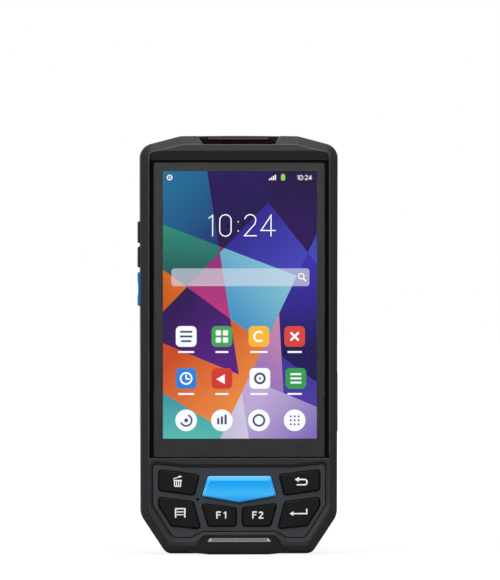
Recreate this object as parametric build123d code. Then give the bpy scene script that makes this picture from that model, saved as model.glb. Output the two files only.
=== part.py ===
from build123d import *
import os
from math import acos, atan, degrees, tan

# Handheld barcode data terminal, millimetres.
# It stands on its foot: +Z runs up its length, the display and keys face -Y,
# the battery door faces +Y and the side keys are on the -X side.
# The origin is the centre of the foot.

# ---------------------------------------------------------------- display
GLASS_WIDTH = 69.4
GLASS_HEIGHT = 119.5
GLASS_THICK = 1.1
GLASS_RADIUS = 1.2
GASKET_THICK = 0.2          # adhesive tape between the glass and its ledge
GASKET_INSET = 0.4
GASKET_CLEAR = 0.1
GLASS_CHAMFER = 0.2
GLASS_GAP = 0.12            # glass to the edge of its seat
PANEL_SIDE = 1.8            # glass margin outside the display panel, at the sides
PANEL_TOP = 1.6
PANEL_BOTTOM = 4.5
PANEL_THICK = 1.6
BACKLIGHT_THICK = 1.7
PANEL_GAP = 0.3             # running room between the panel and the housing window
TRAY_RIM = 4.0              # rim round the backlight tray's pressed middle
TRAY_PRESS = 0.4

# ---------------------------------------------------------------- body
THICKNESS = 21.0
SPLIT_FROM_BACK = 7.5       # parting plane of the two housing halves
WALL = 2.2
FRONT_WALL = 2.9            # front face to the cavity
REAR_WALL = 2.0
GROOVE_WIDTH = 1.5          # dark channel round the glass
GROOVE_TOP = 1.2
GROOVE_DEPTH = 1.5
GLASS_SINK = 0.7            # front face down to the glass
WELL_LAND = 0.4             # how far the channel's mouth spreads at the sides
WELL_SLOPE = 3.9            # and at the top
BEVEL_WIDTH = 3.45          # front edge bevel
BEVEL_DEPTH = 3.2
REAR_BEVEL = 2.6
BAR_HEIGHT = 2.5            # bar between the glass and the keypad plate
HEAD_HEIGHT = 11.0          # top of the glass to the crown
FOOT_LIFT = 0.5             # the housing's corners stand this far off the ground
FOOT_HALF = 29.5
FOOT_RADIUS = 4.0
WAIST_HEIGHT = 16.0         # where the lower corner chamfers meet the sides
WAIST_RADIUS = 8.0
WAIST_INSET = 0.3           # the body narrows a little towards its waist
SHOULDER_DROP = 4.6         # crown down to the top corners
SHOULDER_RADIUS = 6.0
CROWN_HALF = 23.8
CROWN_DROP = 0.3
CROWN_EDGE_RADIUS = 8.0
CROWN_RADIUS = 1000.0
KEEL_HALF = 12.0            # raised middle of the foot
KEEL_RUN = 5.0
KEEL_MARGIN = 2.5           # foot kept back from the front and rear bevels

# ---------------------------------------------------------------- keypad
# key corners on the right-hand half, across and up; the left half mirrors them
BACK_KEY_INNER = ((16.2, 32.4), (18.3, 24.2))
BACK_KEY_OUTER = (34.4, 26.2)       # heights of its outer corners
ENTER_KEY_INNER = ((18.6, 21.5), (15.6, 10.6), (27.5, 11.8))
ENTER_KEY_OUTER = (23.3, 19.9)
SOFT_KEY = ((15.3, 20.8), (1.24, 18.9), (1.24, 11.7), (12.6, 11.7))
SCAN_KEY = ((0, 21.05), (15.15, 23.7), (12.7, 31.95))
SCAN_CROWN = ((0, 21.6), (14.2, 24.1), (12.2, 30.2))
SCAN_DIP_RADIUS = 2.5
SCAN_SHOULDER = 0.1         # where the scan key's facets start, above the plate
PLATE_TOP_MARGIN = 2.6      # outer keys to the plate's top edge
PLATE_DIP = (21.6, 1.4)     # where the top edge starts to dip, and how far
PLATE_FOOT = ((14.8, 9.4), (19.6, 6.9), (25.8, 6.9), (27.6, 8.1))
PLATE_SHOULDER = 20.1
PLATE_RADII = [2, 1.5, 1, 1, 2.5, 1.6, 3]
PLATE_THICK = 1.2
PLATE_CHAMFER = 0.25
PLATE_SINK = 0.6
PLATE_LEDGE = 1.0
PLATE_GAP = 0.12
LIP_WIDTH = 1.5             # sloping lip round the plate
KEY_FLANGE = 0.6
KEY_GAP = 0.25              # key to plate, all round
KEY_RADIUS = 1.0
KEY_BEVEL = 0.35
KEY_MARGIN = 2.5            # plate edge to the outer keys
KEY_PROUD = 0.6             # keys stand this far out of the plate
SCAN_PROUD = 0.8
KEY_TRAVEL = 0.5
KEY_SEAT = 0.2              # flange to plate
FLANGE_THICK = 0.6
MAT_SPACE = 0.05            # left under a pressed key
MAT_THICK = 0.6
NUB_HEIGHT = 0.3
NUB_SIZE = 2.2
MAT_INSET = 0.3
MAT_CLEAR = 0.1
DOME_HEIGHT = 0.25
DOME_RADIUS = 2.0
DOME_SLOPE = 60.0           # degrees from the board's normal
BOARD_THICK = 0.8
KEYPAD_BOARD_INSET = 1.2
MIC_HOLE = 0.5              # radius
MIC_CAN = (3.4, 2.6)
MIC_CLEAR = 0.05
MIC_PLACE = (-16.85, 22.5)

# ---------------------------------------------------------------- chin and grille
CHIN_TOP = 7.7
CHIN_TOP_HALF = 14.5
CHIN_FOOT_HALF = 18.5
CHIN_SINK = 0.3
CHIN_GAP = 0.2
CHIN_DEPTH = 3.9            # front face to the chin pocket's floor
CHIN_BACKING = 1.2
CHIN_CORNER = 1.5
CHIN_POCKET_WALL = 2.0      # wall round the chin's pocket
CHIN_POCKET_LIFT = 0.6
CHIN_POCKET_ROOT = 1.0      # how far that wall runs into the front wall
GRILLE_HALF = 13.0
GRILLE_BOTTOM = 5.3
GRILLE_HEIGHT = 1.5
GRILLE_THICK = 0.8
GRILLE_SINK = 0.2
GRILLE_TAPER = 1.1          # its ends lean in by this much
GRILLE_GAP = 0.05
GRILLE_MOUTH = 1.0          # sound opening, in from the grille's ends
GRILLE_SOLID_END = 1.5
SLOT_MARGIN = 0.12
SLOT_PITCH = 0.9
SLOT_WIDTH = 0.5
SLOT_LEAN = 20.0
SPEAKER_LENGTH = 19.0
SPEAKER_HEIGHT = 8.0
SPEAKER_THICK = 3.4
SPEAKER_LIFT = 0.9          # speaker's centre above the grille's
SPEAKER_RIM = 2.0
SPEAKER_MOUTH = (1.4, 0.8)  # height and depth of its opening

# ---------------------------------------------------------------- scanner
NOTCH_DEPTH = 3.6           # crown to the floor of the scan window recess
NOTCH_FLOOR_HALF = 14.7
NOTCH_TOP_HALF = 17.05
NOTCH_BEHIND_SPLIT = 3.8
WINDOW_HALF = 14.4
WINDOW_THICK = 0.8
WINDOW_SEAL_THICK = 0.3
WINDOW_FRONT = 2.5          # front face to the window's front edge
WINDOW_BACK_GAP = 0.2
SIGHT_HALF = 11.0           # opening under the window
SIGHT_MARGIN = 1.5
HOOD_HALF = 12.7
HOOD_SLOT = 0.7             # shadow slot between window and hood
HOOD_REACH = 2.2
HOOD_GAP = 0.1
HOOD_BROW_INSET = 0.7
HOOD_SLOPE = 1.2            # its brow slopes back over this height
SEAL_STEP = 0.3             # window seal, in from the window's edge
ENGINE_WIDTH = 21.0
ENGINE_HEIGHT = 12.7
ENGINE_DEPTH = 11.0
ENGINE_ROOM = 0.4
ENGINE_CHAMFER = 0.6
ENGINE_FACE = (1.0, 6.0)    # depth range of its recessed optical face
ENGINE_RECESS = 0.8
LENS_RADIUS = 2.3
LENS_RISE = 1.5
LENS_DEPTH = 3.5            # frame to the lens's axis
LAMP_SIZE = 3.0
LAMP_RISE = 0.9
LAMP_SPREAD = 7.0

# ---------------------------------------------------------------- frame and boards
FRAME_THICK = 0.8
FRAME_GAP = 0.4             # frame to the housing walls
FRAME_BOTTOM = 12.6
FRAME_WINDOW = (16.0, 14.0)
FRAME_WINDOW_SPREAD = 18.0
FRAME_WINDOWS = (60.0, 84.0, 108.0)
STANDOFF = 1.0
STANDOFF_RADIUS = 2.2
STANDOFF_INSET = (3.0, 4.0)
MAIN_BOARD_HALF = 30.4
MAIN_BOARD_BOTTOM = 40.0
MAIN_BOARD_GAP = 1.5        # board to scan engine
BOARD_EAR = 3.0             # ear that carries the port, wider than the port by this
EAR_GAP = 0.2
CAN_HEIGHT = 1.6
CAN_WALL = 0.3
CANS = ((-10.0, 122.0, 30.0, 26.0), (-8.0, 76.0, 34.0, 40.0))   # across, up, width, height
MOTOR_PLACE = (20.0, 46.0)
MOTOR_SIZE = (4.0, 10.0, 2.4)
ANTENNA_SIZE = (17.0, 13.0, 0.3)
ANTENNA_INSET = (19.1, 17.0)    # in from the side, down from the crown
ANTENNA_SLOT = (11.0, 3.0)
FLEX_THICK = 0.2
FLEX_HALF = 8.0
FLEX_DROP = 3.0             # below the display's lower edge
FLEX_STEP = 0.4
FLEX_TAIL = 6.0
FLEX_PASS = (0.5, 2.0)      # room beside it and height of its opening in the frame
POST_HALF = 2.6             # square screw posts
POST_ROOM = 0.3
SCREW_RADIUS = 1.0
SCREW_FIT = 0.05            # screw to its cored hole in the front post
SCREW_CLEAR = 0.15          # and to its hole in the rear post
SCREW_HEAD_RADIUS = 1.8
SCREW_HEAD_HEIGHT = 1.4
SOCKET_RADIUS = 0.9
SOCKET_DEPTH = 0.7
COUNTERBORE_RADIUS = 2.0
COUNTERBORE_DEPTH = 2.5
SCREW_BITE = 4.0            # length in the front post
SCREW_TIP_ROOM = 1.0
TOP_POST_INSET = (5.6, 8.5)
LOW_POST = (26.5, 5.0)
SEAL_INSET = 0.7
SEAL_WIDTH = 0.8
SEAL_DEPTH = 0.8

# ---------------------------------------------------------------- battery and door
BAY_HALF = 28.9
BAY_BOTTOM = 31.6
BAY_HEADROOM = 37.6         # bay's top end to the crown
BAY_CORNER = 1.4
BAY_WALL = 1.2
BAY_FLOOR = 1.0             # thickness of the floor
BAY_FLOOR_DEPTH = 8.5       # rear face down to the bay floor
DOOR_THICK = 1.6
DOOR_LEDGE = 1.6
DOOR_GAP = 0.2
DOOR_RADIUS = 3.0
DOOR_EDGE = 0.5
DOOR_SEAL_INSET = 0.2
DOOR_SEAL_WIDTH = 0.7
DOOR_SEAL_DEPTH = 0.6
TAB_WIDTH = 8.0
TAB_SPREAD = 14.0
TAB_THICK = 0.8
TAB_REACH = 1.3             # under the housing's edge
TAB_SLOT_ROOM = 0.6
TAB_SIDE_ROOM = 0.3
TAB_LIFT = 0.2              # tab to the housing's edge above it
TAB_ROOT = (0.3, 1.6)       # from the bay's lower wall to the root's two faces
BATTERY_GAP = 0.5
BATTERY_LIFT = 2.6          # bay bottom to battery, where the door's tabs reach in
BATTERY_CHAMFER = 0.6
BATTERY_THICK = 6.0
BATTERY_RADIUS = 2.5
PAD_GAP = 0.15
PAD_SIZE = (30.0, 40.0)     # foam pad on the door's inner face
CONTACT_WIDTH = 16.0
CONTACT_LENGTH = 5.0
CONTACT_HEIGHT = 4.0
CONTACT_GAP = 0.3
CONTACT_PITCH = 4.0
CONTACT_PINS = 4
CONTACT_PIN = (1.2, 1.6)
CONTACT_PIN_LIFT = 1.2
CARD_WIDTH = 28.0
CARD_LENGTH = 16.0
CARD_HEIGHT = 1.4
CARD_SLOT = 0.8
CARD_FLOOR = 0.3
CARD_RIM = 1.0
CARD_STOP = 1.5             # the card's slot opens this far towards the contacts
CARD_ABOVE_CONTACT = 2.2
CARD_HEADROOM = 2.7         # holder to the bay's top end
LOCK_SPREAD = 24.0          # captive door screws, out from the middle
LOCK_DROP = 6.4             # and down from the bay's top end
LOCK_POST_HALF = 2.9
LOCK_HEAD_RADIUS = 2.3
LOCK_HEAD_HEIGHT = 1.0
LOCK_HEAD_GAP = 0.15
LOCK_HEAD_SINK = 0.2
LOCK_SLOT_DEPTH = 0.5
LOCK_RADIUS = 1.0
LOCK_RUN = 0.1              # shank to its holes
LOCK_BITE = 1.0
LOCK_SLOT = 0.6
INSERT_RADIUS = 2.0
INSERT_LENGTH = 2.0
LOCK_POST_GAP = 0.3         # housing post to door post
LOCK_POST_LENGTH = 2.4      # door post below the door's inner face

# ---------------------------------------------------------------- camera
CAMERA_INSET = (26.05, 10.0)    # in from the side, and up from the door's top edge
CAMERA_SIZE = 9.0
CAMERA_DEPTH = 4.5
BARREL_RADIUS = 3.0
BARREL_GAP = 0.2
FLASH_INSET = 16.05             # in from the side
FLASH_SIZE = 3.6
FLASH_BASE = 0.8
FLASH_LENS = 3.0
COVER_LENGTH = 22.0
COVER_HEIGHT = 11.0
COVER_THICK = 0.8
COVER_SINK = 0.15
COVER_GAP = 0.1
LENS_GAP = 0.1

# ---------------------------------------------------------------- side keys
SIDE_KEY_DEPTH = 4.6            # size along Y
SIDE_KEY_CENTRE = -1.6
SIDE_KEY_PROUD = 1.0
SIDE_KEY_TRAVEL = 0.4
SIDE_KEY_FLANGE = 0.6
SIDE_KEY_SEAT = 0.2
SIDE_KEY_GAP = 0.2
SIDE_KEY_CHAMFER = 0.45
SIDE_KEY_RADIUS = 1.0
SIDE_KEYS = {"side_key_upper": (126.3, 135.2), "side_key_lower": (116.4, 124.9),
             "side_scan_key": (100.8, 114.6)}
SCAN_DISH = 0.25
SWITCH_LENGTH = 1.6
SWITCH_SIZE = 3.2
SWITCH_BUTTON = (0.5, 1.6)  # rise and size
SWITCH_GAP = 0.05           # left under a pressed key
SIDE_BOARD_THICK = 0.6
SIDE_BOARD_REACH = 2.4

# ---------------------------------------------------------------- port and flap
PORT_HEIGHT = 62.0
USB_WIDTH = 9.0
USB_DEPTH = 3.2
USB_LENGTH = 7.0
USB_SHELL = 0.3
USB_CORNER = 1.0
USB_END_WALL = 0.7
USB_BACK = 1.0
USB_TONGUE = (0.7, 1.2, 1.0)    # thickness, in from the ends, back from the mouth
USB_STEP = 0.6              # its mouth stands this far into the wall
USB_GAP = 0.3
FLAP_HEIGHT = 24.0
FLAP_THICK = 1.6
FLAP_WIDTH = 6.8                # pivot to its free edge
FLAP_GAP = 0.15
FLAP_CORNER = 1.2
FLAP_PIVOT_FROM_SPLIT = 1.8
KNUCKLE_RADIUS = 0.8
PIN_RADIUS = 0.4
PIN_RUN = 0.05
PIN_BITE = 1.5
PLUG_HEIGHT = 8.2
PLUG_DEPTH = 2.2
PLUG_LENGTH = 0.8
PORT_WALL = 2.2                 # local thickening behind the flap
PORT_WALL_SINK = 0.2            # the thickening runs this far into the wall
PORT_WALL_STEP = 0.5
PORT_WALL_MARGIN = (1.2, 3.0)   # beyond the flap, across the thickness and along the length

# ---------------------------------------------------------------- charging contacts
PAD_PITCH = 6.0
PAD_COUNT = 4
PAD_HEIGHT = 17.0
PAD_FACE = (2.6, 3.4)
PAD_FLANGE = 0.5
PAD_SINK = 0.1
CHARGING_BOARD = (26.0, 7.0)

# ---------------------------------------------------------------- worked out
FRONT = -THICKNESS / 2
BACK = THICKNESS / 2
SPLIT = BACK - SPLIT_FROM_BACK
CAVITY_FRONT = FRONT + FRONT_WALL
CAVITY_BACK = BACK - REAR_WALL
WIDTH = GLASS_WIDTH + 2 * (GROOVE_WIDTH + WELL_LAND + BEVEL_WIDTH)
PLATE_TOP = BACK_KEY_OUTER[0] + PLATE_TOP_MARGIN
GLASS_BOTTOM = PLATE_TOP + BAR_HEIGHT
GLASS_TOP = GLASS_BOTTOM + GLASS_HEIGHT
HEIGHT = GLASS_TOP + HEAD_HEIGHT
PLATE_HALF = WIDTH / 2 - BEVEL_WIDTH - LIP_WIDTH
GLASS_FRONT = FRONT + GLASS_SINK
GLASS_BACK = GLASS_FRONT + GLASS_THICK
GLASS_LEDGE = GLASS_BACK + GASKET_THICK
PANEL_BACK = GLASS_BACK + PANEL_THICK
BACKLIGHT_BACK = PANEL_BACK + BACKLIGHT_THICK
PANEL_WIDTH = GLASS_WIDTH - 2 * PANEL_SIDE
PANEL_HEIGHT = GLASS_HEIGHT - PANEL_TOP - PANEL_BOTTOM
PANEL_CENTRE = GLASS_BOTTOM + PANEL_BOTTOM + PANEL_HEIGHT / 2
FRAME_FRONT = BACKLIGHT_BACK
FRAME_BACK = FRAME_FRONT + FRAME_THICK
BOARD_FRONT = FRAME_BACK + STANDOFF
BOARD_BACK = BOARD_FRONT + BOARD_THICK
PLATE_FRONT = FRONT + PLATE_SINK
PLATE_BACK = PLATE_FRONT + PLATE_THICK
FLANGE_FRONT = PLATE_BACK + KEY_SEAT
KEY_BACK = FLANGE_FRONT + FLANGE_THICK
MAT_FRONT = KEY_BACK + KEY_TRAVEL + MAT_SPACE
MAT_BACK = MAT_FRONT + MAT_THICK
KEYPAD_BOARD_BACK = FRAME_FRONT
KEYPAD_BOARD_FRONT = KEYPAD_BOARD_BACK - BOARD_THICK
NOTCH_FLOOR = HEIGHT - NOTCH_DEPTH
WINDOW_BOTTOM = NOTCH_FLOOR + WINDOW_SEAL_THICK
WINDOW_TOP = WINDOW_BOTTOM + WINDOW_THICK
ENGINE_TOP = NOTCH_FLOOR - WALL - ENGINE_ROOM
ENGINE_BOTTOM = ENGINE_TOP - ENGINE_HEIGHT
MAIN_BOARD_TOP = ENGINE_BOTTOM - MAIN_BOARD_GAP
BAY_TOP = HEIGHT - BAY_HEADROOM
BAY_FLOOR_Y = BACK - BAY_FLOOR_DEPTH
DOOR_SEAT = BACK - DOOR_THICK
DOOR_BOTTOM = BAY_BOTTOM - DOOR_LEDGE + DOOR_GAP
DOOR_TOP = BAY_TOP + DOOR_LEDGE - DOOR_GAP
BATTERY_BOTTOM = BAY_BOTTOM + BATTERY_LIFT
CARD_BOTTOM = BAY_TOP - CARD_HEADROOM - CARD_LENGTH
CONTACT_BOTTOM = CARD_BOTTOM - CARD_ABOVE_CONTACT - CONTACT_LENGTH
BATTERY_TOP = CONTACT_BOTTOM - CONTACT_GAP
BATTERY_BACK = BAY_FLOOR_Y + BATTERY_THICK
LOCK_Z = BAY_TOP - LOCK_DROP
CAMERA_Z = DOOR_TOP + CAMERA_INSET[1]
CHIN_FLOOR = FRONT + CHIN_DEPTH
CHIN_WALL_BACK = CHIN_FLOOR + CHIN_BACKING
SIDE = WIDTH / 2
CAMERA_X = SIDE - CAMERA_INSET[0]
FLASH_X = SIDE - FLASH_INSET
POSTS = [(SIDE - TOP_POST_INSET[0], HEIGHT - TOP_POST_INSET[1]), LOW_POST]
TAB_FRONT = CAVITY_BACK - TAB_LIFT - TAB_THICK
LOCK_POST_TOP = DOOR_SEAT - LOCK_POST_LENGTH - LOCK_POST_GAP
LOCK_HEAD_FLOOR = BACK - LOCK_HEAD_HEIGHT - LOCK_HEAD_SINK
COVER_FRONT = BACK - COVER_THICK - COVER_SINK
FLEX_LOW = GLASS_BOTTOM + PANEL_BOTTOM - FLEX_DROP
SWITCH_LEFT = -SIDE + WALL + SIDE_KEY_SEAT + SIDE_KEY_FLANGE + SIDE_KEY_TRAVEL + SWITCH_GAP
USB_Y = BOARD_BACK + USB_DEPTH / 2
PIVOT_X = SIDE - KNUCKLE_RADIUS
PIVOT_Y = SPLIT - FLAP_PIVOT_FROM_SPLIT


# ---------------------------------------------------------------- helpers
def outline(points, radii):
    """Front-view outline (X across, Z up) with a radius at each corner."""
    return make_face(FilletPolyline(*points, radius=radii, close=True))


def cut_outline(points, radii):
    """The same outline with a straight cut along each arc, for edges that stay out of sight."""
    cut = []
    befores = points[-1:] + points[:-1]
    afters = points[1:] + points[:1]
    for before, corner, after, radius in zip(befores, points, afters, radii):
        corner = Vector(*corner)
        arriving = (corner - Vector(*before)).normalized()
        leaving = (Vector(*after) - corner).normalized()
        turn = acos(arriving.dot(leaving))
        reach = radius * (tan(turn / 2) - tan(turn / 4))
        cut += [corner - arriving * reach, corner + leaving * reach] if radius else [corner]
    return make_face(Polyline(*cut, close=True))


def mirrored(half, radii, form=outline):
    """Closed outline, the same on both sides, from its right half in order of height."""
    left = [(-x, z) for x, z in reversed(half) if x > 0]
    left_radii = [r for (x, z), r in reversed(list(zip(half, radii))) if x > 0]
    return form(half + left, radii + left_radii)


def slab(face, front, rear):
    """Solid between two depths with a front-view outline."""
    return extrude(level(rear) * face, amount=rear - front)


def level(depth):
    """Front-view plane at a depth, facing the front."""
    return Plane(origin=(0, depth, 0), x_dir=(1, 0, 0), z_dir=(0, -1, 0))


def flare(face, start, end, change):
    """Solid whose outline shrinks by a width between two depths."""
    way = (0, 1 if end > start else -1, 0)
    angle = degrees(atan(change / abs(end - start)))
    return extrude(level(start) * face, amount=abs(end - start), dir=way, taper=angle)


def rounded(width, height, x, z, radius):
    """Rounded rectangle in the front view."""
    return Pos(x, z) * RectangleRounded(width, height, radius)


def plain(width, height, x, z):
    """Plain rectangle in the front view."""
    return Pos(x, z) * Rectangle(width, height)


def block(low, high):
    """Box from its low to its high corner."""
    size = [b - a for a, b in zip(low, high)]
    return Pos(*low) * Box(*size, align=(Align.MIN, Align.MIN, Align.MIN))


def six_sided(radius):
    """Hexagon that a circle of this radius just fits in."""
    return RegularPolygon(radius, 6, major_radius=False)


def rod(x, z, radius, front, rear):
    """Round bar along Y."""
    return slab(Pos(x, z) * Circle(radius), front, rear)


def both_sides(piece):
    """A piece with its mirror image across the middle."""
    return piece + mirror(piece, Plane.YZ)


def inward(face, amount):
    """Outline drawn in by a width, with its corners kept sharp."""
    return offset(face, amount=-amount, kind=Kind.INTERSECTION)


def export(name, piece):
    export_step(piece, f"parts/{name}.step")


# ---------------------------------------------------------------- shared outlines
def body_outline(form=outline):
    half = [(FOOT_HALF, FOOT_LIFT), (SIDE - WAIST_INSET, WAIST_HEIGHT),
            (SIDE, HEIGHT - SHOULDER_DROP), (CROWN_HALF, HEIGHT - CROWN_DROP), (0, HEIGHT)]
    radii = [FOOT_RADIUS, WAIST_RADIUS, SHOULDER_RADIUS, CROWN_EDGE_RADIUS, CROWN_RADIUS]
    return mirrored(half, radii, form)


def notch_outline():
    """Recess for the scan window, open at the crown."""
    rise = (NOTCH_TOP_HALF - NOTCH_FLOOR_HALF) / NOTCH_DEPTH
    above = 2 * NOTCH_DEPTH
    half = [(NOTCH_FLOOR_HALF, NOTCH_FLOOR),
            (NOTCH_FLOOR_HALF + rise * above, NOTCH_FLOOR + above)]
    return mirrored(half, [0, 0])


def rim_outline(inset):
    """Outline of the walls, which dips under the scan window recess."""
    return inward(body_outline(cut_outline) - notch_outline(), inset)


def plate_outline(form=outline):
    half = [*PLATE_FOOT, (PLATE_HALF, PLATE_SHOULDER), (PLATE_HALF, PLATE_TOP),
            (PLATE_DIP[0], PLATE_TOP - PLATE_DIP[1])]
    return mirrored(half, PLATE_RADII, form)


def key_outlines(form=outline):
    """The seven key shapes; the outer ones reach out to the plate's edges."""
    edge = PLATE_HALF - KEY_MARGIN
    back = [(edge, BACK_KEY_OUTER[0]), *BACK_KEY_INNER, (edge, BACK_KEY_OUTER[1])]
    enter = [(edge, ENTER_KEY_OUTER[0]), *ENTER_KEY_INNER, (edge, ENTER_KEY_OUTER[1])]
    pairs = {("back_key", "delete_key"): back, ("enter_key", "menu_key"): enter,
             ("f2_key", "f1_key"): list(SOFT_KEY)}
    shapes = {}
    for (right, left), points in pairs.items():
        radii = [KEY_RADIUS] * len(points)
        shapes[right] = form(points, radii)
        shapes[left] = form([(-x, z) for x, z in points], radii)
    shapes["scan_key"] = scan_outline(SCAN_KEY, form)
    return shapes


def scan_outline(half, form=outline):
    return mirrored(list(half), [SCAN_DIP_RADIUS, KEY_RADIUS, KEY_RADIUS], form)


def chin_outline(grow=0.0):
    half = [(CHIN_FOOT_HALF + grow, -FOOT_LIFT), (CHIN_FOOT_HALF + grow, FOOT_LIFT + CHIN_CORNER),
            (CHIN_TOP_HALF + grow, CHIN_TOP + grow)]
    return mirrored(half, [0, CHIN_CORNER, CHIN_CORNER])


def chin_pocket(wall):
    """Block of wall round the chin's pocket, in the front view."""
    middle = FOOT_LIFT + CHIN_POCKET_LIFT + CHIN_TOP / 2
    return plain(2 * (CHIN_FOOT_HALF + wall), CHIN_TOP + wall - CHIN_POCKET_WALL, 0, middle)


def bay_outline(grow):
    """Battery bay with cut corners."""
    left, right = -BAY_HALF - grow, BAY_HALF + grow
    low, high = BAY_BOTTOM - grow, BAY_TOP + grow
    return cut_outline([(left, low), (right, low), (right, high), (left, high)], [BAY_CORNER + grow] * 4)


def door_outline(gap):
    centre = (BAY_BOTTOM + BAY_TOP) / 2
    grow = DOOR_LEDGE - gap
    return rounded(2 * (BAY_HALF + grow), BAY_TOP - BAY_BOTTOM + 2 * grow, 0, centre, DOOR_RADIUS - gap)


def post_squares(half):
    spots = [(side * x, z) for x, z in POSTS for side in (1, -1)]
    return Sketch() + [plain(2 * half, 2 * half, x, z) for x, z in spots]


def post_holes(room):
    """Six-sided cored holes round the screws."""
    spots = [(side * x, z) for x, z in POSTS for side in (1, -1)]
    return Sketch() + [Pos(x, z) * six_sided(SCREW_RADIUS + room) for x, z in spots]


def post_circles(radius):
    spots = [(side * x, z) for x, z in POSTS for side in (1, -1)]
    return Sketch() + [Pos(x, z) * Circle(radius) for x, z in spots]


def keel():
    """Raised middle of the foot, the face that the terminal stands on."""
    half = [(KEEL_HALF, 0), (KEEL_HALF + KEEL_RUN, FOOT_LIFT), (KEEL_HALF + KEEL_RUN, WALL)]
    return mirrored(half, [0, 0, 0])


# ---------------------------------------------------------------- housing
def body_half(face, width, depth):
    """Half of the body between the parting plane and its bevelled face."""
    half = slab(body_outline(), *sorted((SPLIT, face)))
    side = half.faces().sort_by(Axis.Y)[0 if face < SPLIT else -1]
    return chamfer(side.edges(), width, depth, reference=side)


def glass_well():
    """Mouth of the channel round the glass, spreading to the ridge line."""
    side = GLASS_WIDTH / 2 + GROOVE_WIDTH
    bottom = GLASS_BOTTOM - WELL_LAND
    top = GLASS_TOP + GROOVE_TOP
    floor = plain(2 * side, top - bottom, 0, (bottom + top) / 2)
    mouth_top = top + WELL_SLOPE
    mouth = plain(2 * (side + WELL_LAND), mouth_top - bottom, 0, (bottom + mouth_top) / 2)
    return loft([level(FRONT + GROOVE_DEPTH) * floor, level(FRONT) * mouth], ruled=True)


def front_housing():
    """Front shell: bevelled face, display window, keypad recess, chin pocket and side openings."""
    shell = body_half(FRONT, BEVEL_WIDTH, BEVEL_DEPTH)
    shell += slab(keel(), FRONT + BEVEL_DEPTH + KEEL_MARGIN / 2, SPLIT)
    shell -= slab(rim_outline(WALL), CAVITY_FRONT, SPLIT)
    shell += slab(chin_pocket(CHIN_POCKET_WALL), CAVITY_FRONT - CHIN_POCKET_ROOT, CHIN_WALL_BACK)
    shell += slab(post_squares(POST_HALF), CAVITY_FRONT, SPLIT)
    shell += port_thickening()
    shell -= glass_well()
    shell -= slab(glass_seat(), FRONT, GLASS_LEDGE)
    shell -= slab(panel_outline(PANEL_GAP), FRONT, CAVITY_FRONT)
    shell -= flare(offset(plate_outline(), amount=LIP_WIDTH), FRONT, PLATE_FRONT,
                   LIP_WIDTH - PLATE_GAP)
    shell -= slab(offset(plate_outline(), amount=PLATE_GAP), FRONT, PLATE_BACK)
    shell -= slab(inward(plate_outline(cut_outline), PLATE_LEDGE), FRONT, CAVITY_FRONT)
    shell -= slab(chin_outline(CHIN_GAP), FRONT, CHIN_FLOOR)
    shell -= slab(grille_outline(-GRILLE_MOUTH), FRONT, CHIN_WALL_BACK)
    shell -= slab(notch_outline(), FRONT, SPLIT)
    shell -= sight_opening()
    shell -= side_key_openings()
    shell -= port_opening()
    shell -= slab(seal_ring(), SPLIT - SEAL_DEPTH, SPLIT)
    return shell - slab(post_holes(SCREW_FIT), SPLIT - SCREW_BITE - SCREW_TIP_ROOM, SPLIT)


def seal_ring():
    return rim_outline(SEAL_INSET) - rim_outline(SEAL_INSET + SEAL_WIDTH)


def glass_outline():
    return rounded(GLASS_WIDTH, GLASS_HEIGHT, 0, GLASS_BOTTOM + GLASS_HEIGHT / 2, GLASS_RADIUS)


def glass_seat():
    """Square-cornered recess that the glass lies in."""
    return plain(GLASS_WIDTH + 2 * GLASS_GAP, GLASS_HEIGHT + 2 * GLASS_GAP, 0,
                 GLASS_BOTTOM + GLASS_HEIGHT / 2)


def panel_outline(grow):
    return plain(PANEL_WIDTH + 2 * grow, PANEL_HEIGHT + 2 * grow, 0, PANEL_CENTRE)


def sight_opening():
    """Opening under the scan window, through the floor of its recess."""
    front = FRONT + WINDOW_FRONT + SIGHT_MARGIN
    rear = SPLIT - WINDOW_BACK_GAP - SIGHT_MARGIN
    return block((-SIGHT_HALF, front, NOTCH_FLOOR - 2 * WALL), (SIGHT_HALF, rear, WINDOW_BOTTOM))


def side_key_openings():
    holes = Part()
    for low, high in SIDE_KEYS.values():
        depth, height = SIDE_KEY_DEPTH / 2 + SIDE_KEY_GAP, (high - low) / 2 + SIDE_KEY_GAP
        corners = [(-depth, -height), (depth, -height), (depth, height), (-depth, height)]
        section = cut_outline(corners, [SIDE_KEY_RADIUS + SIDE_KEY_GAP] * 4)
        holes += across(section, low, high, -SIDE - WALL, -SIDE + 2 * WALL)
    return holes


def across(section, low, high, left, right):
    """Bar along X with the section of a side key."""
    plane = Plane(origin=(left, SIDE_KEY_CENTRE, (low + high) / 2), x_dir=(0, 1, 0), z_dir=(1, 0, 0))
    return extrude(plane * section, amount=right - left)


def port_thickening():
    """Thicker wall behind the port's flap."""
    thickness, length = PORT_WALL_MARGIN
    half = FLAP_HEIGHT / 2 + length
    inner = SIDE - WALL - PORT_WALL + PORT_WALL_STEP
    return block((inner, PIVOT_Y - FLAP_WIDTH - thickness, PORT_HEIGHT - half),
                 (SIDE - WALL + PORT_WALL_SINK, SPLIT, PORT_HEIGHT + half))


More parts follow.
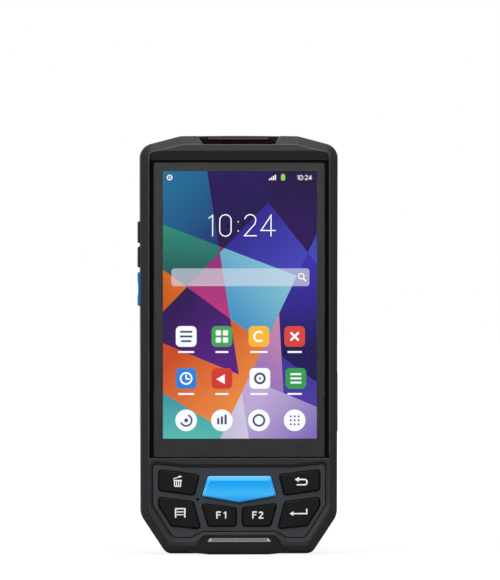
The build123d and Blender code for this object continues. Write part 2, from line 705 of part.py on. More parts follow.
def port_opening():
    """Pocket for the flap, opening for the plug, and the bore for the flap's pin."""
    half = FLAP_HEIGHT / 2 + FLAP_GAP
    pocket = block((SIDE - FLAP_THICK - FLAP_GAP, PIVOT_Y - FLAP_WIDTH - FLAP_GAP, PORT_HEIGHT - half),
                   (SIDE + WALL, PIVOT_Y + KNUCKLE_RADIUS + FLAP_GAP, PORT_HEIGHT + half))
    depth = USB_DEPTH / 2 + USB_GAP
    width = USB_WIDTH / 2 + USB_GAP
    port = block((SIDE - WALL - PORT_WALL, USB_Y - depth, PORT_HEIGHT - width),
                 (SIDE, USB_Y + depth, PORT_HEIGHT + width))
    return pocket + port + flap_pin()


def rear_housing():
    """Rear shell: battery bay, door recess, camera window, charging contact holes and screw seats."""
    shell = body_half(BACK, REAR_BEVEL, REAR_BEVEL)
    shell += slab(keel(), SPLIT, BACK - REAR_BEVEL - KEEL_MARGIN / 2)
    shell -= slab(rim_outline(WALL), SPLIT, CAVITY_BACK)
    shell += slab(post_squares(POST_HALF), SPLIT, CAVITY_BACK)
    shell += slab(bay_outline(BAY_WALL), BAY_FLOOR_Y - BAY_FLOOR, DOOR_SEAT)
    shell -= slab(bay_outline(0), BAY_FLOOR_Y, BACK)
    shell -= slab(door_outline(0), DOOR_SEAT, BACK)
    shell += both_sides(slab(lock_square(), BAY_FLOOR_Y, LOCK_POST_TOP))
    shell -= both_sides(slab(insert_outline(), LOCK_POST_TOP - INSERT_LENGTH, LOCK_POST_TOP))
    shell -= both_sides(tab_slot())
    shell -= slab(post_holes(SCREW_CLEAR), SPLIT, BACK)
    shell -= slab(post_circles(COUNTERBORE_RADIUS), BACK - COUNTERBORE_DEPTH, BACK)
    barrel_room = 2 * (BARREL_RADIUS + BARREL_GAP)
    flash_room = FLASH_LENS + 2 * BARREL_GAP
    shell -= slab(plain(barrel_room, barrel_room, CAMERA_X, CAMERA_Z), CAVITY_BACK, BACK)
    shell -= slab(plain(flash_room, flash_room, FLASH_X, CAMERA_Z), CAVITY_BACK, BACK)
    shell -= slab(cover_outline(COVER_GAP), COVER_FRONT, BACK)
    for x in pad_places():
        shell -= slab(plain(*PAD_FACE, x, PAD_HEIGHT), CAVITY_BACK, BACK)
    return shell - slab(notch_outline(), SPLIT, SPLIT + NOTCH_BEHIND_SPLIT)


def lock_square():
    return plain(2 * LOCK_POST_HALF, 2 * LOCK_POST_HALF, LOCK_SPREAD, LOCK_Z)


def lock_hole():
    return Pos(LOCK_SPREAD, LOCK_Z) * six_sided(LOCK_RADIUS + LOCK_RUN)


def insert_outline():
    return Pos(LOCK_SPREAD, LOCK_Z) * RegularPolygon(INSERT_RADIUS, 6)


def tab_slot():
    """Slot that a door tab reaches through, with the ledge over it open for the tab's swing."""
    left = TAB_SPREAD - TAB_WIDTH / 2 - TAB_SIDE_ROOM
    right = TAB_SPREAD + TAB_WIDTH / 2 + TAB_SIDE_ROOM
    high = BAY_BOTTOM + BAY_WALL
    reach = block((left, TAB_FRONT - TAB_SLOT_ROOM, DOOR_BOTTOM - TAB_REACH - DOOR_GAP),
                  (right, CAVITY_BACK, high))
    return reach + block((left, CAVITY_BACK, DOOR_BOTTOM - DOOR_GAP), (right, DOOR_SEAT, high))


def cover_outline(grow):
    """Pill-shaped outline over the camera and its flash."""
    middle = (CAMERA_X + FLASH_X) / 2
    return Pos(middle, CAMERA_Z) * SlotOverall(COVER_LENGTH + 2 * grow, COVER_HEIGHT + 2 * grow)


def pad_places():
    return [(i - (PAD_COUNT - 1) / 2) * PAD_PITCH for i in range(PAD_COUNT)]


def housing_screws():
    """Four cap screws with hexagon sockets."""
    seat = BACK - COUNTERBORE_DEPTH
    crown = seat + SCREW_HEAD_HEIGHT
    screws = slab(post_circles(SCREW_HEAD_RADIUS), seat, crown)
    screws += slab(post_circles(SCREW_RADIUS), SPLIT - SCREW_BITE, seat)
    for x, z in POSTS:
        socket = slab(Pos(x, z) * RegularPolygon(SOCKET_RADIUS, 6), crown - SOCKET_DEPTH, crown)
        screws -= both_sides(socket)
    return screws


# ---------------------------------------------------------------- display stack
def touch_glass():
    glass = slab(glass_outline(), GLASS_FRONT, GLASS_BACK)
    return chamfer(glass.faces().sort_by(Axis.Y)[0].edges(), GLASS_CHAMFER)


def glass_gasket():
    """Tape frame between the glass and its ledge."""
    sheet = plain(GLASS_WIDTH - 2 * GASKET_INSET, GLASS_HEIGHT - 2 * GASKET_INSET, 0,
                  GLASS_BOTTOM + GLASS_HEIGHT / 2)
    return slab(sheet - panel_outline(PANEL_GAP + GASKET_CLEAR), GLASS_BACK, GLASS_LEDGE)


def display_panel():
    return slab(panel_outline(0), GLASS_BACK, PANEL_BACK)


def display_backlight():
    tray = slab(panel_outline(0), PANEL_BACK, BACKLIGHT_BACK)
    return tray - slab(panel_outline(-TRAY_RIM), BACKLIGHT_BACK - TRAY_PRESS, BACKLIGHT_BACK)


def display_flex():
    """Ribbon from under the display, round through the frame, to the main board."""
    front, rear = PANEL_BACK + FLEX_STEP, BOARD_FRONT
    display_edge = PANEL_CENTRE - PANEL_HEIGHT / 2
    bottom = block((-FLEX_HALF, front, FLEX_LOW), (FLEX_HALF, rear, FLEX_LOW + FLEX_THICK))
    rise = block((-FLEX_HALF, front, FLEX_LOW), (FLEX_HALF, front + FLEX_THICK, display_edge))
    tail = block((-FLEX_HALF, rear - FLEX_THICK, FLEX_LOW), (FLEX_HALF, rear, FLEX_LOW + FLEX_TAIL))
    return bottom + rise + tail


# ---------------------------------------------------------------- keypad
def keypad_plate():
    """Plate with an opening round each key and a hole for the microphone."""
    plate = slab(plate_outline(), PLATE_FRONT, PLATE_BACK)
    plate = chamfer(plate.faces().sort_by(Axis.Y)[0].edges(), PLATE_CHAMFER)
    for shape in KEYS.values():
        plate -= slab(offset(shape, amount=KEY_GAP), PLATE_FRONT, PLATE_BACK)
    return plate - rod(*MIC_PLACE, MIC_HOLE, PLATE_FRONT, PLATE_BACK)


def key_flange(name):
    """Flange that holds a key behind the plate."""
    return slab(inward(PLAIN_KEYS[name], -KEY_FLANGE), FLANGE_FRONT, KEY_BACK)


def key_cap(name):
    """Key with a bevelled crown."""
    cap = slab(KEYS[name], PLATE_FRONT - KEY_PROUD, KEY_BACK)
    cap = chamfer(cap.faces().sort_by(Axis.Y)[0].edges(), KEY_BEVEL)
    return cap + key_flange(name)


def scan_key():
    """Scan key: its crown falls away in a wide facet along the top and narrow ones at the sides."""
    shoulder = PLATE_FRONT - SCAN_SHOULDER
    base = level(shoulder) * KEYS["scan_key"]
    crown = level(PLATE_FRONT - SCAN_PROUD) * scan_outline(SCAN_CROWN)
    cap = slab(KEYS["scan_key"], shoulder, KEY_BACK) + loft([base, crown], ruled=True)
    return cap + key_flange("scan_key")


def behind_plate(inset, front, rear):
    """Sheet behind the keypad plate, clear of the chin's pocket and the screw posts."""
    sheet = inward(plate_outline(cut_outline), inset) - chin_pocket(CHIN_POCKET_WALL + POST_ROOM)
    return slab(sheet - post_squares(POST_HALF + POST_ROOM), front, rear)


def key_centres():
    return [(shape.center().X, shape.center().Y) for shape in KEYS.values()]


def keypad_mat():
    """Rubber mat: a rim that seats against the housing and a nub under each key."""
    mat = behind_plate(MAT_INSET, CAVITY_FRONT, MAT_BACK)
    mat -= slab(inward(plate_outline(cut_outline), PLATE_LEDGE + MAT_CLEAR), CAVITY_FRONT, MAT_FRONT)
    for x, z in key_centres():
        mat += slab(plain(NUB_SIZE, NUB_SIZE, x, z), MAT_BACK, MAT_BACK + NUB_HEIGHT)
    return mat - slab(plain(2 * MIC_HOLE, 2 * MIC_HOLE, *MIC_PLACE), CAVITY_FRONT, MAT_BACK)


def dome_switches():
    """Snap domes on the keypad board, with cut sides."""
    domes = Part()
    for x, z in key_centres():
        foot = level(KEYPAD_BOARD_FRONT) * Pos(x, z) * RegularPolygon(DOME_RADIUS, 8)
        domes += extrude(foot, amount=DOME_HEIGHT, taper=DOME_SLOPE)
    return domes


def keypad_board():
    return behind_plate(KEYPAD_BOARD_INSET, KEYPAD_BOARD_FRONT, KEYPAD_BOARD_BACK)


def microphone():
    return slab(plain(*MIC_CAN, *MIC_PLACE), MAT_BACK + MIC_CLEAR, KEYPAD_BOARD_FRONT)


# ---------------------------------------------------------------- chin and speaker
def grille_outline(grow):
    half = [(GRILLE_HALF + grow, GRILLE_BOTTOM),
            (GRILLE_HALF - GRILLE_TAPER + grow, GRILLE_BOTTOM + GRILLE_HEIGHT)]
    return mirrored(half, [0, 0])


def chin_cover():
    """Smooth chin, cut from the same bevelled form as the shell round it."""
    cover = body_half(FRONT, BEVEL_WIDTH, BEVEL_DEPTH)
    cover &= slab(chin_outline(), FRONT + CHIN_SINK, CHIN_FLOOR)
    cover -= slab(grille_outline(0), FRONT, FRONT + CHIN_SINK + GRILLE_SINK + GRILLE_THICK)
    return cover - slab(grille_outline(-GRILLE_MOUTH), FRONT, CHIN_FLOOR)


def speaker_grille():
    """Metal grille with a row of leaning slots between solid ends."""
    front = FRONT + CHIN_SINK + GRILLE_SINK
    grille = slab(grille_outline(-GRILLE_GAP), front, front + GRILLE_THICK)
    middle = GRILLE_BOTTOM + GRILLE_HEIGHT / 2
    count = int((2 * GRILLE_HALF - 2 * GRILLE_SOLID_END) / SLOT_PITCH)
    slot = Rot(0, 0, SLOT_LEAN) * Rectangle(SLOT_WIDTH, GRILLE_HEIGHT - 2 * SLOT_MARGIN)
    for i in range(count):
        x = (i - (count - 1) / 2) * SLOT_PITCH
        grille -= slab(Pos(x, middle) * slot, front, front + GRILLE_THICK)
    return grille


def loudspeaker():
    """Flat speaker box with its mouth behind the grille."""
    middle = GRILLE_BOTTOM + GRILLE_HEIGHT / 2
    height, depth = SPEAKER_MOUTH
    box = slab(plain(SPEAKER_LENGTH, SPEAKER_HEIGHT, 0, middle + SPEAKER_LIFT), CHIN_WALL_BACK,
               CHIN_WALL_BACK + SPEAKER_THICK)
    return box - slab(plain(SPEAKER_LENGTH - 2 * SPEAKER_RIM, height, 0, middle), CHIN_WALL_BACK,
                      CHIN_WALL_BACK + depth)


# ---------------------------------------------------------------- scanner
def scan_window():
    """Red acrylic window lying in the recess; it looks up out of the crown."""
    front, rear = FRONT + WINDOW_FRONT, SPLIT - WINDOW_BACK_GAP
    return block((-WINDOW_HALF, front, WINDOW_BOTTOM), (WINDOW_HALF, rear, WINDOW_TOP))


def scan_window_seal():
    front = FRONT + WINDOW_FRONT + SEAL_STEP
    rear = SPLIT - WINDOW_BACK_GAP - SEAL_STEP
    half = WINDOW_HALF - SEAL_STEP
    return block((-half, front, NOTCH_FLOOR), (half, rear, WINDOW_BOTTOM)) - sight_opening()


def scan_hood():
    """Brow behind the window, overhanging its rear edge."""
    top = HEIGHT - CROWN_DROP
    foot = mirrored([(HOOD_HALF, NOTCH_FLOOR), (HOOD_HALF, top)], [0, 0])
    brow = mirrored([(HOOD_HALF - HOOD_BROW_INSET, WINDOW_TOP + HOOD_SLOT), (HOOD_HALF, top)], [0, 0])
    hood = slab(foot, SPLIT + HOOD_GAP, SPLIT + NOTCH_BEHIND_SPLIT)
    brow = slab(brow, SPLIT - HOOD_REACH, SPLIT + HOOD_GAP)
    crest = brow.faces().sort_by(Axis.Y)[0].edges().sort_by(Axis.Z)[-1]
    return hood + chamfer(crest, HOOD_SLOPE)


def scan_engine():
    """Imager module: die-cast body with a recessed optical face that looks up."""
    half = ENGINE_WIDTH / 2
    body = block((-half, FRAME_BACK, ENGINE_BOTTOM), (half, FRAME_BACK + ENGINE_DEPTH, ENGINE_TOP))
    body = chamfer(body.edges().filter_by(Axis.Y), ENGINE_CHAMFER)
    near, far = ENGINE_FACE
    recess = block((-half + near, FRAME_BACK + near, ENGINE_TOP - ENGINE_RECESS),
                   (half - near, FRAME_BACK + far, ENGINE_TOP))
    return body - recess


def scan_engine_optics():
    """Imaging lens between its two lamps."""
    floor = (0, FRAME_BACK + LENS_DEPTH, ENGINE_TOP - ENGINE_RECESS)
    standing = (Align.CENTER, Align.CENTER, Align.MIN)
    lamp = Pos(LAMP_SPREAD, 0, 0) * Box(LAMP_SIZE, LAMP_SIZE, LAMP_RISE, align=standing)
    return Pos(*floor) * (Cylinder(LENS_RADIUS, LENS_RISE, align=standing) + both_sides(lamp))


# ---------------------------------------------------------------- frame and boards
def mid_frame():
    """Stamped alloy frame that backs the display and carries the boards."""
    sheet = rim_outline(WALL + FRAME_GAP) - post_squares(POST_HALF + POST_ROOM)
    sheet -= plain(WIDTH, 2 * FRAME_BOTTOM, 0, 0)
    side_room, height = FLEX_PASS
    sheet -= plain(2 * (FLEX_HALF + side_room), height, 0, FLEX_LOW)
    port_cut = FLAP_HEIGHT + 2 * PORT_WALL_MARGIN[1] + 2 * FRAME_GAP
    sheet -= plain(2 * (WALL + PORT_WALL), port_cut, SIDE, PORT_HEIGHT)
    for z in FRAME_WINDOWS:
        for side in (1, -1):
            sheet -= plain(*FRAME_WINDOW, side * FRAME_WINDOW_SPREAD, z)
    frame = slab(sheet, FRAME_FRONT, FRAME_BACK)
    for x, z in standoffs():
        frame += slab(Pos(x, z) * RegularPolygon(STANDOFF_RADIUS, 6), FRAME_BACK, BOARD_FRONT)
    return frame


def standoffs():
    """Places of the hexagonal standoffs under the main board."""
    across_inset, up_inset = STANDOFF_INSET
    low, high = MAIN_BOARD_BOTTOM + up_inset, MAIN_BOARD_TOP - up_inset
    return [(side * (MAIN_BOARD_HALF - across_inset), z) for side in (1, -1)
            for z in (low, (low + high) / 2, high)]


def main_board():
    """Board with an ear that carries the port."""
    height = MAIN_BOARD_TOP - MAIN_BOARD_BOTTOM
    sheet = plain(2 * MAIN_BOARD_HALF, height, 0, MAIN_BOARD_BOTTOM + height / 2)
    ear_end = SIDE - WALL - PORT_WALL - EAR_GAP
    sheet += plain(2 * (ear_end - MAIN_BOARD_HALF), USB_WIDTH + BOARD_EAR, MAIN_BOARD_HALF, PORT_HEIGHT)
    return slab(sheet, BOARD_FRONT, BOARD_BACK)


def shield_cans():
    """Two drawn metal cans over the processor and the radio."""
    cans = Part()
    for x, z, width, height in CANS:
        can = slab(plain(width, height, x, z), BOARD_BACK, BOARD_BACK + CAN_HEIGHT)
        room = plain(width - 2 * CAN_WALL, height - 2 * CAN_WALL, x, z)
        cans += can - slab(room, BOARD_BACK, BOARD_BACK + CAN_HEIGHT - CAN_WALL)
    return cans


def vibration_motor():
    """Linear motor in a flat can."""
    width, length, thickness = MOTOR_SIZE
    return slab(plain(width, length, *MOTOR_PLACE), BOARD_BACK, BOARD_BACK + thickness)


def antenna_flex():
    """Slotted antenna foil on the rear shell's inner face."""
    width, height, thickness = ANTENNA_SIZE
    centre = (-SIDE + ANTENNA_INSET[0], HEIGHT - ANTENNA_INSET[1])
    foil = plain(width, height, *centre) - plain(*ANTENNA_SLOT, *centre)
    return slab(foil, CAVITY_BACK - thickness, CAVITY_BACK)


# ---------------------------------------------------------------- battery and door
def battery_pack():
    """Battery with cut corners and a softened rear edge."""
    half = BAY_HALF - BATTERY_GAP
    corners = [(-half, BATTERY_BOTTOM), (half, BATTERY_BOTTOM), (half, BATTERY_TOP), (-half, BATTERY_TOP)]
    pack = slab(cut_outline(corners, [BATTERY_RADIUS] * 4), BAY_FLOOR_Y, BATTERY_BACK)
    return chamfer(pack.faces().sort_by(Axis.Y)[-1].edges(), BATTERY_CHAMFER)


def battery_contacts():
    """Connector block with its spring pins against the battery."""
    body = block((-CONTACT_WIDTH / 2, BAY_FLOOR_Y, CONTACT_BOTTOM),
                 (CONTACT_WIDTH / 2, BAY_FLOOR_Y + CONTACT_HEIGHT, CONTACT_BOTTOM + CONTACT_LENGTH))
    width, depth = CONTACT_PIN
    front = BAY_FLOOR_Y + CONTACT_PIN_LIFT
    for i in range(CONTACT_PINS):
        x = (i - (CONTACT_PINS - 1) / 2) * CONTACT_PITCH
        body += block((x - width / 2, front, BATTERY_TOP), (x + width / 2, front + depth, CONTACT_BOTTOM))
    return body


def card_holder():
    """Sheet-metal holder, open towards the contacts for its card."""
    z = CARD_BOTTOM + CARD_LENGTH / 2
    floor = BAY_FLOOR_Y + CARD_FLOOR
    shell = slab(plain(CARD_WIDTH, CARD_LENGTH, 0, z), BAY_FLOOR_Y, BAY_FLOOR_Y + CARD_HEIGHT)
    slot = plain(CARD_WIDTH - 2 * CARD_RIM, CARD_LENGTH, 0, z - CARD_STOP)
    return shell - slab(slot, floor, floor + CARD_SLOT)


def battery_door():
    """Door plate with tabs at its foot, posts for the captive screws and a seal groove."""
    door = slab(door_outline(DOOR_GAP), DOOR_SEAT, BACK)
    door = chamfer(door.faces().sort_by(Axis.Y)[-1].edges(), DOOR_EDGE)
    door -= slab(door_seal_ring(), DOOR_SEAT, DOOR_SEAT + DOOR_SEAL_DEPTH)
    door += both_sides(door_tab())
    door += both_sides(slab(lock_square(), LOCK_POST_TOP + LOCK_POST_GAP, DOOR_SEAT))
    door -= both_sides(slab(lock_hole(), LOCK_POST_TOP, BACK))
    sink = rod(LOCK_SPREAD, LOCK_Z, LOCK_HEAD_RADIUS + LOCK_HEAD_GAP, LOCK_HEAD_FLOOR, BACK)
    return door - both_sides(sink)


def door_seal_ring():
    return bay_outline(DOOR_SEAL_INSET + DOOR_SEAL_WIDTH) - bay_outline(DOOR_SEAL_INSET)


def door_tab():
    """Tongue that reaches under the housing's edge, with its root on the door."""
    left, right = TAB_SPREAD - TAB_WIDTH / 2, TAB_SPREAD + TAB_WIDTH / 2
    near, far = TAB_ROOT
    tongue = block((left, TAB_FRONT, DOOR_BOTTOM - TAB_REACH),
                   (right, TAB_FRONT + TAB_THICK, BAY_BOTTOM + far))
    return tongue + block((left, TAB_FRONT, BAY_BOTTOM + near), (right, DOOR_SEAT, BAY_BOTTOM + far))


def battery_door_seal():
    return slab(door_seal_ring(), DOOR_SEAT, DOOR_SEAT + DOOR_SEAL_DEPTH)


def battery_pad():
    """Foam pad that keeps the battery from rattling."""
    z = (BATTERY_BOTTOM + BATTERY_TOP) / 2
    return slab(plain(*PAD_SIZE, 0, z), BATTERY_BACK + PAD_GAP, DOOR_SEAT)


def door_screw(side):
    """Captive screw with a coin slot."""
    x = side * LOCK_SPREAD
    crown = LOCK_HEAD_FLOOR + LOCK_HEAD_HEIGHT
    head = rod(x, LOCK_Z, LOCK_HEAD_RADIUS, LOCK_HEAD_FLOOR, crown)
    head -= block((x - LOCK_HEAD_RADIUS, crown - LOCK_SLOT_DEPTH, LOCK_Z - LOCK_SLOT / 2),
                  (x + LOCK_HEAD_RADIUS, crown, LOCK_Z + LOCK_SLOT / 2))
    return head + rod(x, LOCK_Z, LOCK_RADIUS, LOCK_POST_TOP - LOCK_BITE, LOCK_HEAD_FLOOR)


def door_inserts():
    """Threaded brass bushes in the housing's two posts."""
    bush = slab(insert_outline(), LOCK_POST_TOP - INSERT_LENGTH, LOCK_POST_TOP)
    return both_sides(bush - slab(lock_hole(), LOCK_POST_TOP - INSERT_LENGTH, LOCK_POST_TOP))


# ---------------------------------------------------------------- camera
def camera_module():
    body = slab(plain(CAMERA_SIZE, CAMERA_SIZE, CAMERA_X, CAMERA_Z), CAVITY_BACK - CAMERA_DEPTH, CAVITY_BACK)
    return body + rod(CAMERA_X, CAMERA_Z, BARREL_RADIUS, CAVITY_BACK, COVER_FRONT - LENS_GAP)


def camera_window():
    return slab(cover_outline(0), COVER_FRONT, BACK - COVER_SINK)


def flash_led():
    base = slab(plain(FLASH_SIZE, FLASH_SIZE, FLASH_X, CAMERA_Z), CAVITY_BACK - FLASH_BASE, CAVITY_BACK)
    lens = plain(FLASH_LENS, FLASH_LENS, FLASH_X, CAMERA_Z)
    return base + slab(lens, CAVITY_BACK, COVER_FRONT - LENS_GAP)


# ---------------------------------------------------------------- side keys
def side_key(name):
    """Side key with a chamfered head and a flange inside the wall; the scan key's head is dished."""
    low, high = SIDE_KEYS[name]
    inner = -SIDE + WALL + SIDE_KEY_SEAT
    section = RectangleRounded(SIDE_KEY_DEPTH, high - low, SIDE_KEY_RADIUS)
    head = across(section, low, high, -SIDE - SIDE_KEY_PROUD, inner)
    head = chamfer(head.faces().sort_by(Axis.X)[0].edges(), SIDE_KEY_CHAMFER)
    if name == "side_scan_key":
        half_chord = (high - low) / 4
        radius = (half_chord ** 2 + SCAN_DISH ** 2) / (2 * SCAN_DISH)
        dish = Pos(-SIDE - SIDE_KEY_PROUD + SCAN_DISH - radius, SIDE_KEY_CENTRE, (low + high) / 2)
        head -= dish * Rot(90, 0, 0) * Cylinder(radius, 2 * SIDE_KEY_DEPTH)
    flange = Rectangle(SIDE_KEY_DEPTH + 2 * SIDE_KEY_FLANGE, high - low + 2 * SIDE_KEY_FLANGE)
    return head + across(flange, low, high, inner, inner + SIDE_KEY_FLANGE)


def side_switches():
    """Tact switches behind the side keys."""
    rise, size = SWITCH_BUTTON
    switches = Part()
    for low, high in SIDE_KEYS.values():
        body = Rectangle(SWITCH_SIZE, SWITCH_SIZE)
        switches += across(body, low, high, SWITCH_LEFT + rise, SWITCH_LEFT + SWITCH_LENGTH)
        switches += across(Rectangle(size, size), low, high, SWITCH_LEFT, SWITCH_LEFT + rise)
    return switches


def side_key_board():
    left = SWITCH_LEFT + SWITCH_LENGTH
    low = min(a for a, b in SIDE_KEYS.values())
    high = max(b for a, b in SIDE_KEYS.values())
    rear = SIDE_KEY_CENTRE + SIDE_BOARD_REACH
    return block((left, FRAME_BACK, low), (left + SIDE_BOARD_THICK, rear, high))


# ---------------------------------------------------------------- port and flap
def usb_socket():
    """Receptacle shell with its tongue, soldered to the main board."""
    mouth = SIDE - FLAP_THICK - FLAP_GAP - PORT_WALL + USB_STEP
    root = mouth - USB_LENGTH
    half_width, half_depth = USB_WIDTH / 2, USB_DEPTH / 2
    shell = block((root, USB_Y - half_depth, PORT_HEIGHT - half_width),
                  (mouth, USB_Y + half_depth, PORT_HEIGHT + half_width))
    shell = fillet(shell.edges().filter_by(Axis.X), USB_CORNER)
    inner_depth, inner_width = half_depth - USB_SHELL, half_width - USB_END_WALL
    shell -= block((root + USB_BACK, USB_Y - inner_depth, PORT_HEIGHT - inner_width),
                   (mouth, USB_Y + inner_depth, PORT_HEIGHT + inner_width))
    thickness, end_inset, step_back = USB_TONGUE
    return shell + block((root, USB_Y - thickness / 2, PORT_HEIGHT - half_width + end_inset),
                         (mouth - step_back, USB_Y + thickness / 2, PORT_HEIGHT + half_width - end_inset))


def port_flap():
    """Rubber-edged flap with a knuckle round its pin and a plug that fills the port."""
    low, high = PORT_HEIGHT - FLAP_HEIGHT / 2, PORT_HEIGHT + FLAP_HEIGHT / 2
    leaf = block((SIDE - FLAP_THICK, PIVOT_Y - FLAP_WIDTH, low), (SIDE, PIVOT_Y, high))
    leaf = fillet(leaf.edges().filter_by(Axis.X).group_by(Axis.Y)[0], FLAP_CORNER)
    knuckle = Pos(PIVOT_X, PIVOT_Y, PORT_HEIGHT) * Cylinder(KNUCKLE_RADIUS, FLAP_HEIGHT)
    plug = block((SIDE - FLAP_THICK - PLUG_LENGTH, USB_Y - PLUG_DEPTH / 2, PORT_HEIGHT - PLUG_HEIGHT / 2),
                 (SIDE - FLAP_THICK, USB_Y + PLUG_DEPTH / 2, PORT_HEIGHT + PLUG_HEIGHT / 2))
    bore = Pos(PIVOT_X, PIVOT_Y, PORT_HEIGHT) * Cylinder(PIN_RADIUS + PIN_RUN, 2 * FLAP_HEIGHT)
    return leaf + knuckle + plug - bore


def flap_pin():
    return Pos(PIVOT_X, PIVOT_Y, PORT_HEIGHT) * Cylinder(PIN_RADIUS, FLAP_HEIGHT + 2 * PIN_BITE)


# ---------------------------------------------------------------- charging contacts
def charging_contacts():
    """Flanged pads that show through the rear shell."""
    width, height = PAD_FACE
    pads = Part()
    for x in pad_places():
        pads += slab(plain(width, height, x, PAD_HEIGHT), CAVITY_BACK, BACK - PAD_SINK)
        pads += slab(plain(width + 2 * PAD_FLANGE, height + 2 * PAD_FLANGE, x, PAD_HEIGHT),
                     CAVITY_BACK - PAD_FLANGE, CAVITY_BACK)
    return pads


def charging_board():
    rear = CAVITY_BACK - PAD_FLANGE
    return slab(plain(*CHARGING_BOARD, 0, PAD_HEIGHT), rear - BOARD_THICK, rear)


# ---------------------------------------------------------------- write the sub-parts
os.makedirs("parts", exist_ok=True)
KEYS = key_outlines()
PLAIN_KEYS = key_outlines(cut_outline)

export("front_housing", front_housing())
export("rear_housing", rear_housing())
export("housing_seal", slab(seal_ring(), SPLIT - SEAL_DEPTH, SPLIT))
export("housing_screws", housing_screws())
export("touch_glass", touch_glass())
export("glass_gasket", glass_gasket())
export("display_panel", display_panel())
export("display_backlight", display_backlight())
export("display_flex", display_flex())
export("keypad_plate", keypad_plate())
export("keypad_mat", keypad_mat())
export("dome_switches", dome_switches())
export("keypad_board", keypad_board())
export("microphone", microphone())
for key_name in KEYS:
    export(key_name, scan_key() if key_name == "scan_key" else key_cap(key_name))
export("chin_cover", chin_cover())
export("speaker_grille", speaker_grille())
export("loudspeaker", loudspeaker())
export("scan_window", scan_window())
export("scan_window_seal", scan_window_seal())
export("scan_hood", scan_hood())
export("scan_engine", scan_engine())
export("scan_engine_optics", scan_engine_optics())
export("mid_frame", mid_frame())
export("main_board", main_board())
export("shield_cans", shield_cans())
export("vibration_motor", vibration_motor())
export("antenna_flex", antenna_flex())
export("battery_pack", battery_pack())
export("battery_contacts", battery_contacts())
export("card_holder", card_holder())
export("battery_door", battery_door())
export("battery_door_seal", battery_door_seal())
export("battery_pad", battery_pad())
export("door_screw_left", door_screw(-1))
export("door_screw_right", door_screw(1))
export("door_inserts", door_inserts())
export("camera_module", camera_module())
export("camera_window", camera_window())
export("flash_led", flash_led())
for key_name in SIDE_KEYS:
    export(key_name, side_key(key_name))
export("side_switches", side_switches())
export("side_key_board", side_key_board())
export("usb_socket", usb_socket())
export("port_flap", port_flap())
export("flap_pin", flap_pin())
export("charging_contacts", charging_contacts())
export("charging_board", charging_board())
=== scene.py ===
import math

import bmesh
import bpy
from mathutils import Matrix, Vector


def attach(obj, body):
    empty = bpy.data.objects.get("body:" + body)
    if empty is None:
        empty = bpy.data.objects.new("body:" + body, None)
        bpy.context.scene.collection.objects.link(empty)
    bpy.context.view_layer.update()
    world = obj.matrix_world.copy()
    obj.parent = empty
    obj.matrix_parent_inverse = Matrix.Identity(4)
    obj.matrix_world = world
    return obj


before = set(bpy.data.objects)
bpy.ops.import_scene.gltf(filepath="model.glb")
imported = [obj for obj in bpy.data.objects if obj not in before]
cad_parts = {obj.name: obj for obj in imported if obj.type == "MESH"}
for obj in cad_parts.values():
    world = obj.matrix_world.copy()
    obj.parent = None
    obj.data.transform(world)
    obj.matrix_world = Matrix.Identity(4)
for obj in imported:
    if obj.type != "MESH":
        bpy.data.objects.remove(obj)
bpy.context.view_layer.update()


# Camera: the terminal stands upright and is looked at square on from a long way off, with the
# camera a touch to its left, so that the left side keys show and the right side doesn't.
CAMERA_AWAY = 4.0
camera_data = bpy.data.cameras.new("long_lens")
camera_data.sensor_width = 36
camera_data.lens = 611.2
camera_aim = Vector((0.0047, 0, 0.10725))
camera_turn = math.radians(-2)
camera_rise = math.radians(0.5)
camera_way = Vector((math.sin(camera_turn) * math.cos(camera_rise),
                     -math.cos(camera_turn) * math.cos(camera_rise),
                     math.sin(camera_rise)))
camera = bpy.data.objects.new("camera", camera_data)
camera.location = camera_aim + CAMERA_AWAY * camera_way
camera.rotation_euler = (-camera_way).to_track_quat("-Z", "Y").to_euler()
bpy.context.scene.collection.objects.link(camera)
bpy.context.scene.camera = camera
bpy.context.scene.view_settings.view_transform = "Standard"


# Studio: a pale floor under a soft ceiling of light, with weaker soft lights in front and behind.
# The floor and the white round it are seen as white, and the floor keeps the soft contact shadow.
def feed(tree, node, inputs):
    """Gives a node's inputs plain values, or joins them to the outputs of other nodes."""
    for label, value in inputs.items():
        if isinstance(value, bpy.types.NodeSocket):
            tree.links.new(value, node.inputs[label])
        else:
            node.inputs[label].default_value = value


def add_node(tree, kind, inputs, **settings):
    """A new shader node with its settings and its inputs, by label or, for sums, by number."""
    node = tree.nodes.new("ShaderNode" + kind)
    for setting, value in settings.items():
        setattr(node, setting, value)
    feed(tree, node, inputs)
    return node


def seen_as_background(tree):
    """1 where a camera, mirror or see-through ray looks at the studio, else 0."""
    path = add_node(tree, "LightPath", {})
    first = add_node(tree, "Math", {0: path.outputs["Is Camera Ray"], 1: path.outputs["Is Glossy Ray"]},
                     operation="MAXIMUM")
    second = add_node(tree, "Math", {0: first.outputs[0], 1: path.outputs["Is Transmission Ray"]},
                      operation="MAXIMUM")
    return second.outputs[0]


def soft_light(name, place, aim, width, watts):
    """A square soft box, turned to what it lights."""
    lamp = bpy.data.lights.new(name, "AREA")
    lamp.shape = "SQUARE"
    lamp.size = width
    lamp.energy = watts
    holder = bpy.data.objects.new(name, lamp)
    holder.location = place
    holder.rotation_euler = (Vector(aim) - Vector(place)).to_track_quat("-Z", "Y").to_euler()
    bpy.context.scene.collection.objects.link(holder)


soft_light("ceiling_light", (0, -0.45, 1.35), (0, 0, 0.1), 1.2, 27)
soft_light("front_light", (-1.5, -1.7, 0.9), (0, 0, 0.08), 1.4, 27)
soft_light("back_light", (0.6, 1.6, 0.8), (0, 0, 0.08), 1.4, 14)

